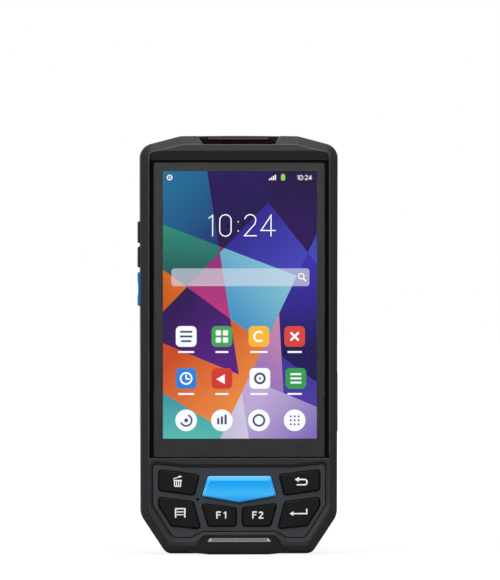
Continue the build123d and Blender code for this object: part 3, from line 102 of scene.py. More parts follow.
world = bpy.data.worlds.new("studio")
bpy.context.scene.world = world
world.use_nodes = True
world_tree = world.node_tree
world_tree.nodes.clear()
world_dim = add_node(world_tree, "Background", {"Color": (0.9, 0.95, 1.0, 1), "Strength": 0.3})
world_white = add_node(world_tree, "Background", {"Color": (1, 1, 1, 1)})
world_mix = add_node(world_tree, "MixShader", {0: seen_as_background(world_tree), 1: world_dim.outputs[0],
                                               2: world_white.outputs[0]})
add_node(world_tree, "OutputWorld", {"Surface": world_mix.outputs[0]})

floor_mesh = bmesh.new()
bmesh.ops.create_circle(floor_mesh, cap_ends=True, segments=64, radius=6)
floor_data = bpy.data.meshes.new("floor")
floor_mesh.to_mesh(floor_data)
floor_mesh.free()
floor = bpy.data.objects.new("floor", floor_data)
bpy.context.scene.collection.objects.link(floor)
floor_paint = bpy.data.materials.new("pale_floor")
floor_paint.use_nodes = True
floor_tree = floor_paint.node_tree
floor_tree.nodes.clear()
floor_place = add_node(floor_tree, "TexCoord", {})
floor_radius = add_node(floor_tree, "VectorMath", {0: floor_place.outputs["Object"]}, operation="LENGTH")
floor_rise = add_node(floor_tree, "MapRange", {"Value": floor_radius.outputs["Value"], "From Min": 0.12,
                                               "From Max": 0.7, "To Min": 0.84, "To Max": 1.0})
floor_level = add_node(floor_tree, "Math", {0: floor_rise.outputs["Result"],
                                            1: seen_as_background(floor_tree)}, operation="MULTIPLY")
floor_matt = add_node(floor_tree, "BsdfDiffuse", {"Color": (0.12, 0.12, 0.12, 1)})
floor_glow = add_node(floor_tree, "Emission", {"Strength": floor_level.outputs[0]})
floor_both = add_node(floor_tree, "AddShader", {0: floor_matt.outputs[0], 1: floor_glow.outputs[0]})
add_node(floor_tree, "OutputMaterial", {"Surface": floor_both.outputs[0]})
floor_data.materials.append(floor_paint)


# Housing: two half shells moulded in black ABS blend with a fine eroded grain. The ridges are a little paler
# and smoother, partly from handling and partly as a painted highlight, and the soft edges come out of the
# mould that way.
MM = 0.001          # drawings are in millimetres, and the frame is in metres


def srgb(red, green, blue):
    """A colour from a paint chart, 0 to 255, for Blender's linear sockets."""
    def linear(value):
        value = value / 255
        return value / 12.92 if value <= 0.04045 else ((value + 0.055) / 1.055) ** 2.4
    return linear(red), linear(green), linear(blue), 1.0


def shader_group(name, takes, gives):
    """An empty node group, the outputs that its inputs come out of, and its last node."""
    group = bpy.data.node_groups.new(name, "ShaderNodeTree")
    for label, kind, value in takes:
        socket = group.interface.new_socket(name=label, in_out="INPUT", socket_type=kind)
        socket.default_value = value
    for label, kind in gives:
        group.interface.new_socket(name=label, in_out="OUTPUT", socket_type=kind)
    return group, group.nodes.new("NodeGroupInput").outputs, group.nodes.new("NodeGroupOutput")


COLOUR, VALUE, VECTOR = "NodeSocketColor", "NodeSocketFloat", "NodeSocketVector"

# Mould grain: an even, fine spark-eroded surface with slow patches where it was handled.
grain, grain_in, grain_out = shader_group(
    "mould_grain",
    [("Colour", COLOUR, (0.05, 0.05, 0.05, 1)), ("Patch Colour", COLOUR, (0.04, 0.04, 0.04, 1)),
     ("Fineness", VALUE, 1500.0), ("Roughness", VALUE, 0.5), ("Spread", VALUE, 0.08)],
    [("Colour", COLOUR), ("Roughness", VALUE), ("Height", VALUE)])
grain_place = add_node(grain, "TexCoord", {}).outputs["Object"]
grain_fine = add_node(grain, "TexNoise", {"Vector": grain_place, "Scale": grain_in["Fineness"], "Detail": 3})
grain_coarser = add_node(grain, "Math", {0: grain_in["Fineness"], 1: 0.7}, operation="MULTIPLY")
grain_pits = add_node(grain, "TexVoronoi", {"Vector": grain_place, "Scale": grain_coarser.outputs[0]})
grain_patch = add_node(grain, "TexNoise", {"Vector": grain_place, "Scale": 70, "Detail": 4})
grain_tint = add_node(grain, "Mix", {"Factor": grain_patch.outputs["Fac"], "A": grain_in["Colour"],
                                     "B": grain_in["Patch Colour"]}, data_type="RGBA")
grain_sway = add_node(grain, "MapRange", {"Value": grain_patch.outputs["Fac"], "From Min": 0.3,
                                          "From Max": 0.7, "To Min": -1})
grain_wide = add_node(grain, "Math", {0: grain_sway.outputs["Result"], 1: grain_in["Spread"],
                                      2: grain_in["Roughness"]}, operation="MULTIPLY_ADD")
grain_height = add_node(grain, "Math", {0: grain_pits.outputs["Distance"], 1: 0.5,
                                        2: grain_fine.outputs["Fac"]}, operation="MULTIPLY_ADD")
feed(grain, grain_out, {"Colour": grain_tint.outputs["Result"], "Roughness": grain_wide.outputs[0],
                        "Height": grain_height.outputs[0]})

# Edge wear and light: how near an outside edge is, broken up as wear is, and the edge's eased normal.
# Finishes use its tint for wear, for painted highlights on ridges and for painted shade on the edges round
# keys.
worn_lit, worn_lit_in, worn_lit_out = shader_group(
    "edge_wear_and_light",
    [("Radius", VALUE, 0.0004), ("Amount", VALUE, 0.4), ("Colour", COLOUR, (0.05, 0.05, 0.05, 1)),
     ("Wear And Light Colour", COLOUR, (0.1, 0.1, 0.1, 1))],
    [("Colour", COLOUR), ("Mask", VALUE), ("Normal", VECTOR)])
worn_lit_round = add_node(worn_lit, "Bevel", {"Radius": worn_lit_in["Radius"]}, samples=6)
worn_lit_flat = add_node(worn_lit, "NewGeometry", {})
worn_lit_dot = add_node(worn_lit, "VectorMath", {0: worn_lit_round.outputs["Normal"], 1: worn_lit_flat.outputs["Normal"]},
                   operation="DOT_PRODUCT")
worn_lit_ramp = add_node(worn_lit, "MapRange", {"Value": worn_lit_dot.outputs["Value"], "From Min": 0.9995,
                                      "From Max": 0.978})
worn_lit_place = add_node(worn_lit, "TexCoord", {}).outputs["Object"]
worn_lit_break = add_node(worn_lit, "TexNoise", {"Vector": worn_lit_place, "Scale": 220, "Detail": 3})
worn_lit_cut = add_node(worn_lit, "MapRange", {"Value": worn_lit_break.outputs["Fac"], "From Min": 0.3, "From Max": 0.6,
                                     "To Min": 0.5})
worn_lit_both = add_node(worn_lit, "Math", {0: worn_lit_ramp.outputs["Result"], 1: worn_lit_cut.outputs["Result"]},
                    operation="MULTIPLY")
worn_lit_share = add_node(worn_lit, "Math", {0: worn_lit_both.outputs[0], 1: worn_lit_in["Amount"]}, operation="MULTIPLY")
worn_lit_tint = add_node(worn_lit, "Mix", {"Factor": worn_lit_share.outputs[0], "A": worn_lit_in["Colour"],
                                 "B": worn_lit_in["Wear And Light Colour"]}, data_type="RGBA")
feed(worn_lit, worn_lit_out, {"Colour": worn_lit_tint.outputs["Result"], "Mask": worn_lit_share.outputs[0],
                    "Normal": worn_lit_round.outputs["Normal"]})

# Recess shade: painted shade that leaves channels and inside corners darker, the more closed in they are.
recess, recess_in, recess_out = shader_group(
    "recess_shade",
    [("Colour", COLOUR, (0.05, 0.05, 0.05, 1)), ("Reach", VALUE, 0.002), ("Amount", VALUE, 0.8)],
    [("Colour", COLOUR), ("Mask", VALUE)])
recess_open = add_node(recess, "AmbientOcclusion", {"Distance": recess_in["Reach"]}, samples=8)
recess_ramp = add_node(recess, "MapRange", {"Value": recess_open.outputs["AO"], "From Min": 0.9,
                                            "From Max": 0.35})
recess_share = add_node(recess, "Math", {0: recess_ramp.outputs["Result"], 1: recess_in["Amount"]},
                        operation="MULTIPLY")
recess_tint = add_node(recess, "Mix", {"Factor": recess_share.outputs[0], "A": recess_in["Colour"],
                                       "B": (0.001, 0.001, 0.001, 1)}, data_type="RGBA")
feed(recess, recess_out, {"Colour": recess_tint.outputs["Result"], "Mask": recess_share.outputs[0]})


def blank_finish(name):
    """A new material, its node tree and its shader."""
    material = bpy.data.materials.new(name)
    material.use_nodes = True
    return material, material.node_tree, material.node_tree.nodes["Principled BSDF"]


def moulded(name, colour, patch, wear_and_light_colour, roughness, spread=0.025, fineness=1500.0, depth=0.02,
            ease=0.35, wear_and_light=0.4, shine=0.3, metal=0.0, lacquer=0.0, coat_roughness=0.1,
            painted_shade=0.0, painted_shade_reach=2.0, dark_edges=False):
    """A moulded, cast or sheet finish: grain, slow patches, eased edges, edges tinted by wear and painted
    light, and painted shade in recesses.
    """
    material, tree, shader = blank_finish(name)
    surface = add_node(tree, "Group", {"Colour": colour, "Patch Colour": patch, "Fineness": fineness,
                                       "Roughness": roughness, "Spread": spread},
                       node_tree=grain, name="grain")
    edge = add_node(tree, "Group", {"Colour": surface.outputs["Colour"], "Wear And Light Colour": wear_and_light_colour,
                                    "Radius": ease * MM, "Amount": wear_and_light},
                    node_tree=worn_lit, name="edge")
    shade = add_node(tree, "Group", {"Colour": edge.outputs["Colour"], "Reach": painted_shade_reach * MM,
                                     "Amount": painted_shade}, node_tree=recess)
    bump = add_node(tree, "Bump", {"Strength": 1.0, "Distance": depth * MM,
                                   "Height": surface.outputs["Height"], "Normal": edge.outputs["Normal"]})
    black = shade.outputs["Mask"]
    if dark_edges:
        black = add_node(tree, "Math", {0: black, 1: edge.outputs["Mask"]}, operation="MAXIMUM").outputs[0]
    feed(tree, shader, {"Base Color": shade.outputs["Colour"], "Roughness": surface.outputs["Roughness"],
                        "Normal": bump.outputs["Normal"], "Specular IOR Level": shine,
                        "Metallic": metal, "Coat Weight": lacquer, "Coat Roughness": coat_roughness})
    if painted_shade and not metal:
        # The painted shade in recesses and on dark edges is treated as metal, so that it gives back no white
        # sheen.
        feed(tree, shader, {"Metallic": black})
    return material


def dress(finish, *names):
    """These solids of the frame get this finish."""
    for name in names:
        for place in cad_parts[name].material_slots:
            place.material = finish


def colour_grain(finish, colour, patch_share):
    """Feeds a colour into the grain of a finish, with its patches a share as bright."""
    tree = finish.node_tree
    grey = (patch_share, patch_share, patch_share, 1)
    darker = add_node(tree, "Mix", {"Factor": 1.0, "A": colour, "B": grey}, data_type="RGBA",
                      blend_type="MULTIPLY")
    feed(tree, tree.nodes["grain"], {"Colour": colour, "Patch Colour": darker.outputs["Result"]})


# How much the housing's ridges are tinted by wear and by painted highlight.
RIDGE_WEAR_AND_HIGHLIGHT = 0.65
housing_black = moulded("housing_black", srgb(34, 34, 35), srgb(29, 29, 30), srgb(112, 112, 114), 0.46,
                        fineness=1500, depth=0.03, ease=0.5, wear_and_light=RIDGE_WEAR_AND_HIGHLIGHT, shine=0.14, painted_shade=0.95,
                        painted_shade_reach=2.4)
dress(housing_black, "front_housing", "rear_housing")

# Painted highlight: the proudest faces are painted paler, over the glass more than under it, for the light
# from above that falls on them.
proud_tree = housing_black.node_tree
proud_place = add_node(proud_tree, "TexCoord", {})
proud_split = add_node(proud_tree, "SeparateXYZ", {"Vector": proud_place.outputs["Object"]})
painted_light_front = add_node(proud_tree, "MapRange", {"Value": proud_split.outputs["Y"],
                                                "From Min": -10.2 * MM, "From Max": -10.49 * MM})
painted_light_high = add_node(proud_tree, "MapRange", {"Value": proud_split.outputs["Z"], "From Min": 40 * MM,
                                               "From Max": 160 * MM, "To Min": 0.4})
painted_light_share = add_node(proud_tree, "Math", {0: painted_light_front.outputs["Result"],
                                            1: painted_light_high.outputs["Result"]}, operation="MULTIPLY")
painted_light_tint = add_node(proud_tree, "Mix", {"Factor": painted_light_share.outputs[0], "A": srgb(34, 34, 35),
                                          "B": srgb(61, 61, 62)}, data_type="RGBA")
colour_grain(housing_black, painted_light_tint.outputs["Result"], 0.78)
# The painted highlight and wear on the lip under the glass and on the ridges round the keypad are fainter
# than on those above.
worn_lit_by_height = add_node(proud_tree, "MapRange", {"Value": proud_split.outputs["Z"], "From Min": 39 * MM,
                                             "From Max": 42 * MM, "To Min": 0.2, "To Max": RIDGE_WEAR_AND_HIGHLIGHT})
feed(proud_tree, proud_tree.nodes["edge"], {"Amount": worn_lit_by_height.outputs["Result"]})


# Seals: soft silicone cords and gaskets, moulded black and pressed into their grooves before the
# halves, the battery door and the scan window close on them. The keypad mat is the same rubber.
seal_rubber = moulded("seal_rubber", srgb(28, 28, 29), srgb(23, 23, 24), srgb(56, 56, 58), 0.75,
                      fineness=900, depth=0.01, ease=0.15, wear_and_light=0.2, shine=0.12, painted_shade=0.9,
                      painted_shade_reach=1.5)
dress(seal_rubber, "housing_seal", "battery_door_seal", "keypad_mat", "scan_window_seal")


# Screws: blackened steel, turned and cold-headed, with the rim of each head and recess worn
# bright. The door's two screws bite in brass inserts that are pressed into the rear shell.
screw_steel = moulded("screw_steel", srgb(98, 98, 102), srgb(78, 78, 82), srgb(190, 190, 194), 0.34,
                      fineness=2600, depth=0.006, ease=0.12, wear_and_light=0.5, metal=1.0, painted_shade=0.9,
                      painted_shade_reach=0.8)
dress(screw_steel, "housing_screws", "door_screw_left", "door_screw_right", "flap_pin")
insert_brass = moulded("insert_brass", srgb(196, 160, 92), srgb(176, 138, 74), srgb(226, 200, 140), 0.3,
                       fineness=2200, depth=0.008, ease=0.1, wear_and_light=0.3, metal=1.0)
dress(insert_brass, "door_inserts")


# Display: a bonded liquid crystal panel under the cover glass, lit from behind, with its flex
# tail. The black border is ink on the back of the glass, so it lies flush with the panel.
panel_glass = moulded("panel_glass", srgb(14, 14, 17), srgb(20, 20, 24), srgb(30, 30, 34), 0.15,
                      fineness=400, depth=0.002, ease=0.05, wear_and_light=0.1, shine=0.5)
dress(panel_glass, "display_panel")
backlight_white = moulded("backlight_white", srgb(206, 208, 210), srgb(192, 194, 198), srgb(226, 226, 228),
                          0.4, fineness=500, depth=0.004, ease=0.1, wear_and_light=0.2)
dress(backlight_white, "display_backlight")
flex_amber = moulded("flex_amber", srgb(150, 92, 28), srgb(128, 74, 20), srgb(186, 128, 60), 0.35,
                     fineness=600, depth=0.004, ease=0.05, wear_and_light=0.2, lacquer=0.3)
dress(flex_amber, "display_flex", "antenna_flex")
gasket_foam = moulded("gasket_foam", srgb(30, 30, 30), srgb(22, 22, 22), srgb(44, 44, 44), 0.9,
                      fineness=2600, depth=0.05, ease=0.1, wear_and_light=0.1, shine=0.15)
dress(gasket_foam, "glass_gasket", "battery_pad")


def facing(x, y, z, turn=0.0, width=1.0, height=1.0):
    """The place of a flat unit shape that faces the user, in mm, turned by turn degrees."""
    return (Matrix.Translation((x * MM, y * MM, z * MM))
            @ Matrix.Rotation(math.radians(90), 4, "X")
            @ Matrix.Rotation(math.radians(turn), 4, "Z")
            @ Matrix.Diagonal((width * MM, height * MM, 1, 1)))


HAIR = 0.0005       # mm between strokes that cross, so that no two lie in one plane


def bar(shape, x, y, z, width, height, turn=0.0):
    """One flat bar of a mark, centred on x and z, a hair over the strokes it crosses."""
    bmesh.ops.create_grid(shape, x_segments=1, y_segments=1, size=0.5,
                          matrix=facing(x, y - HAIR * len(shape.faces), z, turn, width, height))


def disc(shape, x, y, z, diameter, sides=24, turn=0.0):
    """One flat round, or a triangle where it has three sides."""
    place = facing(x, y - HAIR * len(shape.faces), z, turn, diameter, diameter)
    bmesh.ops.create_circle(shape, cap_ends=True, segments=sides, radius=0.5, matrix=place)


def arc(shape, x, y, z, inner, outer, start, sweep, steps=12):
    """A flat ring or part of one, swept from its first edge about x and z."""
    y -= HAIR * len(shape.faces)
    way = math.radians(start)
    ends = [shape.verts.new(((x + r * math.cos(way)) * MM, y * MM, (z + r * math.sin(way)) * MM))
            for r in (inner, outer)]
    edge = shape.edges.new(ends)
    bmesh.ops.spin(shape, geom=ends + [edge], cent=(x * MM, y * MM, z * MM), axis=(0, -1, 0),
                   angle=math.radians(sweep), steps=steps, use_merge=abs(sweep) >= 360)


def tile(shape, x, y, z, width, height, corner):
    """A flat rectangle with rounded corners."""
    made = bmesh.ops.create_grid(shape, x_segments=1, y_segments=1, size=0.5,
                                 matrix=facing(x, y, z, 0, width, height))
    bmesh.ops.bevel(shape, geom=made["verts"], offset=corner * MM, offset_type="OFFSET",
                    segments=5, profile=0.5, affect="VERTICES", material=-1)


def lay(name, shape, finish, body, thickness=0.0, way=-1):
    """Makes a flat shape a piece that faces the front (-1) or the rear (1), as thick as asked."""
    for face in shape.faces:
        face.normal_update()
        if face.normal.y * way < 0:
            face.normal_flip()
    if thickness:
        base = list(shape.faces)
        raised = bmesh.ops.extrude_face_region(shape, geom=base)["geom"]
        bmesh.ops.translate(shape, vec=(0, way * thickness * MM, 0),
                            verts=[v for v in raised if isinstance(v, bmesh.types.BMVert)])
        bmesh.ops.recalc_face_normals(shape, faces=shape.faces)
    data = bpy.data.meshes.new(name)
    shape.to_mesh(data)
    shape.free()
    for material in (finish if isinstance(finish, list) else [finish]):
        data.materials.append(material)
    piece = bpy.data.objects.new(name, data)
    bpy.context.scene.collection.objects.link(piece)
    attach(piece, body)


# Cover glass: a hardened, coated sheet ground flat with a fine polished edge, bonded to the panel.
# Faint smears of fingers dim it in places, and its border carries the black ink on the back.
GLASS_HALF = 34.6
GLASS_LOW, GLASS_HIGH = 39.6, 158.9
LIT_LEFT, LIT_RIGHT = -30.9, 31.5
LIT_LOW, LIT_HIGH = 47.1, 155.5
LIT_MIDDLE, LIT_WIDTH = (LIT_LEFT + LIT_RIGHT) / 2, LIT_RIGHT - LIT_LEFT
INK_Y = -8.72
cover_glass, glass_tree, glass_shader = blank_finish("cover_glass")
glass_place = add_node(glass_tree, "TexCoord", {})
glass_smear = add_node(glass_tree, "TexNoise", {"Vector": glass_place.outputs["Object"], "Scale": 38,
                                                "Detail": 5, "Distortion": 1.2})
glass_haze = add_node(glass_tree, "MapRange", {"Value": glass_smear.outputs["Fac"], "From Min": 0.45,
                                               "From Max": 0.75})
glass_tint = add_node(glass_tree, "Mix", {"Factor": glass_haze.outputs["Result"], "A": (1, 1, 1, 1),
                                          "B": (0.94, 0.955, 0.96, 1)}, data_type="RGBA")
feed(glass_tree, glass_shader, {"Base Color": glass_tint.outputs["Result"], "Roughness": 0.0, "IOR": 1.28,
                                "Transmission Weight": 1.0})
dress(cover_glass, "touch_glass")

border_ink = moulded("border_ink", srgb(45, 45, 45), srgb(40, 40, 40), srgb(45, 45, 45), 0.6,
                     fineness=700, depth=0.0, ease=0.02, wear_and_light=0.0, shine=0.08)


def graded(finish, stops, patch_share=0.85):
    """Colours a finish from foot to head by stops of height in mm and colour."""
    tree = finish.node_tree
    low, high = stops[0][0], stops[-1][0]
    place = add_node(tree, "TexCoord", {})
    split = add_node(tree, "SeparateXYZ", {"Vector": place.outputs["Object"]})
    rise = add_node(tree, "MapRange", {"Value": split.outputs["Z"], "From Min": low * MM,
                                       "From Max": high * MM})
    fade = add_node(tree, "ValToRGB", {"Fac": rise.outputs["Result"]})
    tones = fade.color_ramp.elements
    tones.remove(tones[1])
    for count, (height, colour) in enumerate(stops):
        share = (height - low) / (high - low)
        tone = tones[0] if count == 0 else tones.new(share)
        tone.position = share
        tone.color = colour
    colour_grain(finish, fade.outputs["Color"], patch_share)


# Painted light: the ink is painted a little greyer towards the head, where the ceiling shines under the
# glass.
graded(border_ink, [(39.0, srgb(31, 31, 31)), (100.0, srgb(41, 41, 41)), (159.0, srgb(47, 47, 46))])
border = bmesh.new()
for left, right in ((-GLASS_HALF, LIT_LEFT), (LIT_RIGHT, GLASS_HALF)):
    bar(border, (left + right) / 2, INK_Y, (GLASS_LOW + GLASS_HIGH) / 2,
        right - left, GLASS_HIGH - GLASS_LOW)
for low, high in ((GLASS_LOW, LIT_LOW), (LIT_HIGH, GLASS_HIGH)):
    bar(border, LIT_MIDDLE, INK_Y, (low + high) / 2, LIT_WIDTH, high - low)
lay("glass_border_ink", border, border_ink, "terminal")

# Painted shade: a matt black sheet on the floor of the channel round the glass, for the shadow in it.
CHANNEL_Y = -9.02
CHANNEL_INNER, CHANNEL_OUTER = 34.85, 36.18
CHANNEL_LOW, CHANNEL_GLASS_TOP, CHANNEL_HIGH = 39.4, 159.15, 160.18
channel_black = moulded("channel_black", srgb(13, 13, 13), srgb(9, 9, 9), srgb(13, 13, 13), 0.9,
                        fineness=2400, depth=0.01, ease=0.02, wear_and_light=0.0, shine=0.03)
channel_shade = bmesh.new()
for side in (-1, 1):
    bar(channel_shade, side * (CHANNEL_INNER + CHANNEL_OUTER) / 2, CHANNEL_Y, (CHANNEL_LOW + CHANNEL_HIGH) / 2,
        CHANNEL_OUTER - CHANNEL_INNER, CHANNEL_HIGH - CHANNEL_LOW)
bar(channel_shade, 0, CHANNEL_Y, (CHANNEL_GLASS_TOP + CHANNEL_HIGH) / 2, 2 * CHANNEL_INNER,
    CHANNEL_HIGH - CHANNEL_GLASS_TOP)
lay("glass_channel_shade", channel_shade, channel_black, "terminal")


# Lit picture: what the display shows, a folded-paper pattern of plain slanting facets in
# violet, blue, orange, magenta, teal and lilac, each fading from one tone to another.
PANEL_GLOW = 1.06
CLOUD = 0.16        # how far the fade is stirred, as a share of its span


def glow(name, first, second, way=(0, 0, 1), middle=(0, 0, 100), span=60.0, cover=1.0):
    """Light from the panel, fading from the first tone to the second along a way, in mm."""
    material, tree, shader = blank_finish(name)
    way = Vector(way).normalized()
    centre = way.dot(Vector(middle))
    place = add_node(tree, "TexCoord", {}).outputs["Object"]
    along = add_node(tree, "VectorMath", {0: place, 1: way}, operation="DOT_PRODUCT")
    fade = add_node(tree, "MapRange", {"Value": along.outputs["Value"],
                                       "From Min": (centre - span / 2) * MM,
                                       "From Max": (centre + span / 2) * MM})
    cloud = add_node(tree, "TexNoise", {"Vector": place, "Scale": 55, "Detail": 2})
    stir = add_node(tree, "Math", {0: cloud.outputs["Fac"], 1: CLOUD, 2: fade.outputs["Result"]},
                    operation="MULTIPLY_ADD")
    settle = add_node(tree, "Math", {0: stir.outputs[0], 1: CLOUD / 2}, operation="SUBTRACT",
                      use_clamp=True)
    tint = add_node(tree, "Mix", {"Factor": settle.outputs[0], "A": first, "B": second}, data_type="RGBA")
    feed(tree, shader, {"Emission Color": tint.outputs["Result"], "Emission Strength": PANEL_GLOW,
                        "Base Color": (0, 0, 0, 1), "Roughness": 0.6, "Specular IOR Level": 0.0,
                        "Alpha": cover})
    return material


# Each facet: a point in it, its name, its two tones, and the way, middle and span of its fade.
facets = [
    ((-24, 148), "picture_blue", srgb(18, 40, 110), srgb(24, 112, 150), (-1, 0, 1), (-20, 0, 140), 40),
    ((-2, 150), "picture_violet", srgb(20, 4, 58), srgb(36, 12, 92), (0, 0, 1), (0, 0, 140), 60),
    ((24, 149), "picture_night", srgb(16, 2, 48), srgb(38, 8, 80), (0, 0, -1), (20, 0, 150), 30),
    ((24, 132), "picture_indigo", srgb(40, 20, 130), srgb(66, 70, 186), (1, 0, -1), (22, 0, 132), 40),
    ((-26, 128), "picture_sea", srgb(20, 70, 84), srgb(46, 150, 120), (0, 0, 1), (-24, 0, 126), 30),
    ((-24, 110), "picture_orange", srgb(186, 60, 12), srgb(226, 128, 20), (1, 0, 1), (-22, 0, 108), 36),
    ((-6, 118), "picture_magenta", srgb(110, 20, 104), srgb(176, 50, 120), (0, 0, -1), (-6, 0, 118), 40),
    ((-4, 98), "picture_teal", srgb(30, 136, 176), srgb(104, 196, 196), (0, 0, 1), (-4, 0, 100), 40),
    ((12, 108), "picture_sky", srgb(60, 140, 190), srgb(140, 200, 206), (1, 0, 1), (12, 0, 108), 36),
    ((27, 106), "picture_royal", srgb(20, 6, 80), srgb(56, 44, 170), (0, 0, 1), (26, 0, 104), 40),
    ((-26, 84), "picture_plum", srgb(34, 6, 74), srgb(80, 20, 122), (1, 0, -1), (-24, 0, 84), 30),
    ((-6, 76), "picture_ember", srgb(196, 70, 24), srgb(232, 136, 60), (1, 0, -1), (-6, 0, 76), 34),
    ((14, 82), "picture_lilac", srgb(120, 100, 186), srgb(206, 136, 160), (1, 0, 1), (14, 0, 80), 36),
    ((27, 76), "picture_dusk", srgb(36, 40, 130), srgb(70, 50, 156), (0, 0, -1), (26, 0, 78), 30),
    ((-24, 60), "picture_aqua", srgb(30, 116, 150), srgb(80, 180, 170), (0, 0, -1), (-22, 0, 60), 26),
    ((-4, 54), "picture_pale", srgb(162, 160, 206), srgb(216, 208, 224), (1, 0, 0), (-4, 0, 54), 36),
    ((20, 54), "picture_haze", srgb(110, 86, 176), srgb(184, 164, 208), (-1, 0, 1), (20, 0, 54), 30),
]
# The folds between them, each a straight line through two points of x and z.
cuts = [((-31.4, 98), (24, 155.5)), ((-8, 46.7), (31.4, 130)), ((-13, 155.5), (4, 46.7)),
        ((13, 155.5), (19, 46.7)), ((-31.4, 86), (31.4, 60)), ((-31.4, 134), (31.4, 110)),
        ((-31.4, 66), (0, 46.7)), ((2, 155.5), (31.4, 118)), ((-31.4, 116), (31.4, 70))]
picture = bmesh.new()
bar(picture, LIT_MIDDLE, INK_Y, (LIT_LOW + LIT_HIGH) / 2, LIT_WIDTH, LIT_HIGH - LIT_LOW)
for (x0, z0), (x1, z1) in cuts:
    across = Vector((z1 - z0, 0, x0 - x1)).normalized()
    bmesh.ops.bisect_plane(picture, geom=picture.verts[:] + picture.edges[:] + picture.faces[:],
                           dist=1e-7, plane_co=(x0 * MM, 0, z0 * MM), plane_no=across)
for face in picture.faces:
    centre = face.calc_center_median() / MM
    face.material_index = min(
        range(len(facets)),
        key=lambda i: (facets[i][0][0] - centre.x) ** 2 + (facets[i][0][1] - centre.z) ** 2)
lay("display_picture", picture, [glow(*facet[1:]) for facet in facets], "terminal")


# Lit signs: plain rounds, rounded squares, bars and digits of a start page, in rows of four over
# the picture, each layer a hair in front of the one it lies on.
SIGN_Y = -8.74
GLYPH_Y = -8.76
FIRST, SECOND, THIRD, FOURTH = COLUMNS = (-21.5, -7, 8, 22.5)
HIGH_ROW, LOW_ROW, DOCK_ROW = 88.5, 71.5, 54.5
RING_X, LIST_X = 8.4, 23
ENTRY_Z = 112.5
pale_veil = glow("pale_veil", srgb(232, 236, 244), srgb(210, 216, 234), cover=0.5)
sign_white = glow("sign_white", srgb(244, 246, 250), srgb(255, 255, 255))
veil = bmesh.new()
tile(veil, 0.5, SIGN_Y, ENTRY_Z, 56, 7.2, 1.2)
lay("display_entry_bar", veil, pale_veil, "terminal")

SIGN_SIDE, SIGN_CORNER, DOCK_DIAMETER = 8.4, 1.8, 8.8
signs = {
    "sign_paper": (sign_white, [(FIRST, HIGH_ROW), (RING_X, LOW_ROW)]),
    "sign_green": (glow("sign_green", srgb(46, 150, 74), srgb(84, 186, 96)),
                   [(SECOND, HIGH_ROW), (LIST_X, LOW_ROW)]),
    "sign_amber": (glow("sign_amber", srgb(240, 170, 30), srgb(250, 200, 70)), [(THIRD, HIGH_ROW)]),
    "sign_red": (glow("sign_red", srgb(204, 50, 44), srgb(226, 84, 66)),
                 [(FOURTH, HIGH_ROW), (SECOND, LOW_ROW)]),
    "sign_blue": (glow("sign_blue", srgb(40, 120, 210), srgb(70, 160, 236)), [(FIRST, LOW_ROW)]),
}
for name, (finish, places) in signs.items():
    sheet = bmesh.new()
    for x, z in places:
        tile(sheet, x, SIGN_Y, z, SIGN_SIDE, SIGN_SIDE, SIGN_CORNER)
    lay(name, sheet, finish, "terminal")
dock = bmesh.new()
for x in COLUMNS:
    disc(dock, x, SIGN_Y, DOCK_ROW, DOCK_DIAMETER, 32)
lay("sign_dock", dock, sign_white, "terminal")


def three_lines(shape, x, z, width, apart, shorter=0.0):
    """Three level strokes of a list, the last one shorter where asked."""
    for row in (1, 0, -1):
        bar(shape, x, GLYPH_Y, z + apart * row, width - shorter * (row == -1), 0.8)


# Dark strokes on the pale signs: a page, a ring and, in the dock, rounds, bars, a ring and dots.
glyph_dark = glow("glyph_dark", srgb(56, 74, 110), srgb(64, 88, 130))
dark = bmesh.new()
three_lines(dark, FIRST, HIGH_ROW, 5.0, 1.9, 0.9)
arc(dark, RING_X, GLYPH_Y, LOW_ROW, 1.5, 2.4, 0, 360, 24)
bar(dark, RING_X, GLYPH_Y, LOW_ROW, 0.8, 0.8)
arc(dark, FIRST, GLYPH_Y, DOCK_ROW, 1.9, 2.6, 200, 230, 16)
disc(dark, FIRST, GLYPH_Y, DOCK_ROW, 1.6, 16)
for step in (-1, 0, 1):
    bar(dark, SECOND + 1.5 * step, GLYPH_Y, DOCK_ROW + 0.35 * step, 0.9, 3.2 + 0.7 * step)
arc(dark, THIRD, GLYPH_Y, DOCK_ROW, 1.8, 2.6, 0, 360, 24)
for step_x in (-1, 0, 1):
    for step_z in (-1, 0, 1):
        disc(dark, FOURTH + 1.6 * step_x, GLYPH_Y, DOCK_ROW + 1.6 * step_z, 0.8, 10)
lay("sign_strokes_dark", dark, glyph_dark, "terminal")

# White strokes on the coloured signs: squares, an open ring and a cross over a dial, a wedge
# and a list.
bright = bmesh.new()
for step_x in (-0.5, 0.5):
    for step_z in (-0.5, 0.5):
        tile(bright, SECOND + 2.9 * step_x, GLYPH_Y, HIGH_ROW + 2.9 * step_z, 2.1, 2.1, 0.3)
arc(bright, THIRD, GLYPH_Y, HIGH_ROW, 1.5, 2.3, 45, 270, 18)
for turn in (45, -45):
    bar(bright, FOURTH, GLYPH_Y, HIGH_ROW, 4.6, 0.9, turn)
arc(bright, FIRST, GLYPH_Y, LOW_ROW, 1.9, 2.6, 0, 360, 24)
bar(bright, FIRST, GLYPH_Y, LOW_ROW + 0.6, 0.6, 1.9)
bar(bright, FIRST + 0.6, GLYPH_Y, LOW_ROW - 0.2, 1.6, 0.6)
disc(bright, SECOND, GLYPH_Y, LOW_ROW - 0.3, 4.6, 3, 90)
three_lines(bright, LIST_X, LOW_ROW, 4.4, 1.7)
# Short pale bars stand for the names under the signs.
NAME_DROP, NAME_THICK = 6.3, 0.75
for row in (HIGH_ROW, LOW_ROW):
    for x, width in zip(COLUMNS, (6.4, 5.2, 7.0, 5.8)):
        bar(bright, x, GLYPH_Y, row - NAME_DROP, width, NAME_THICK)
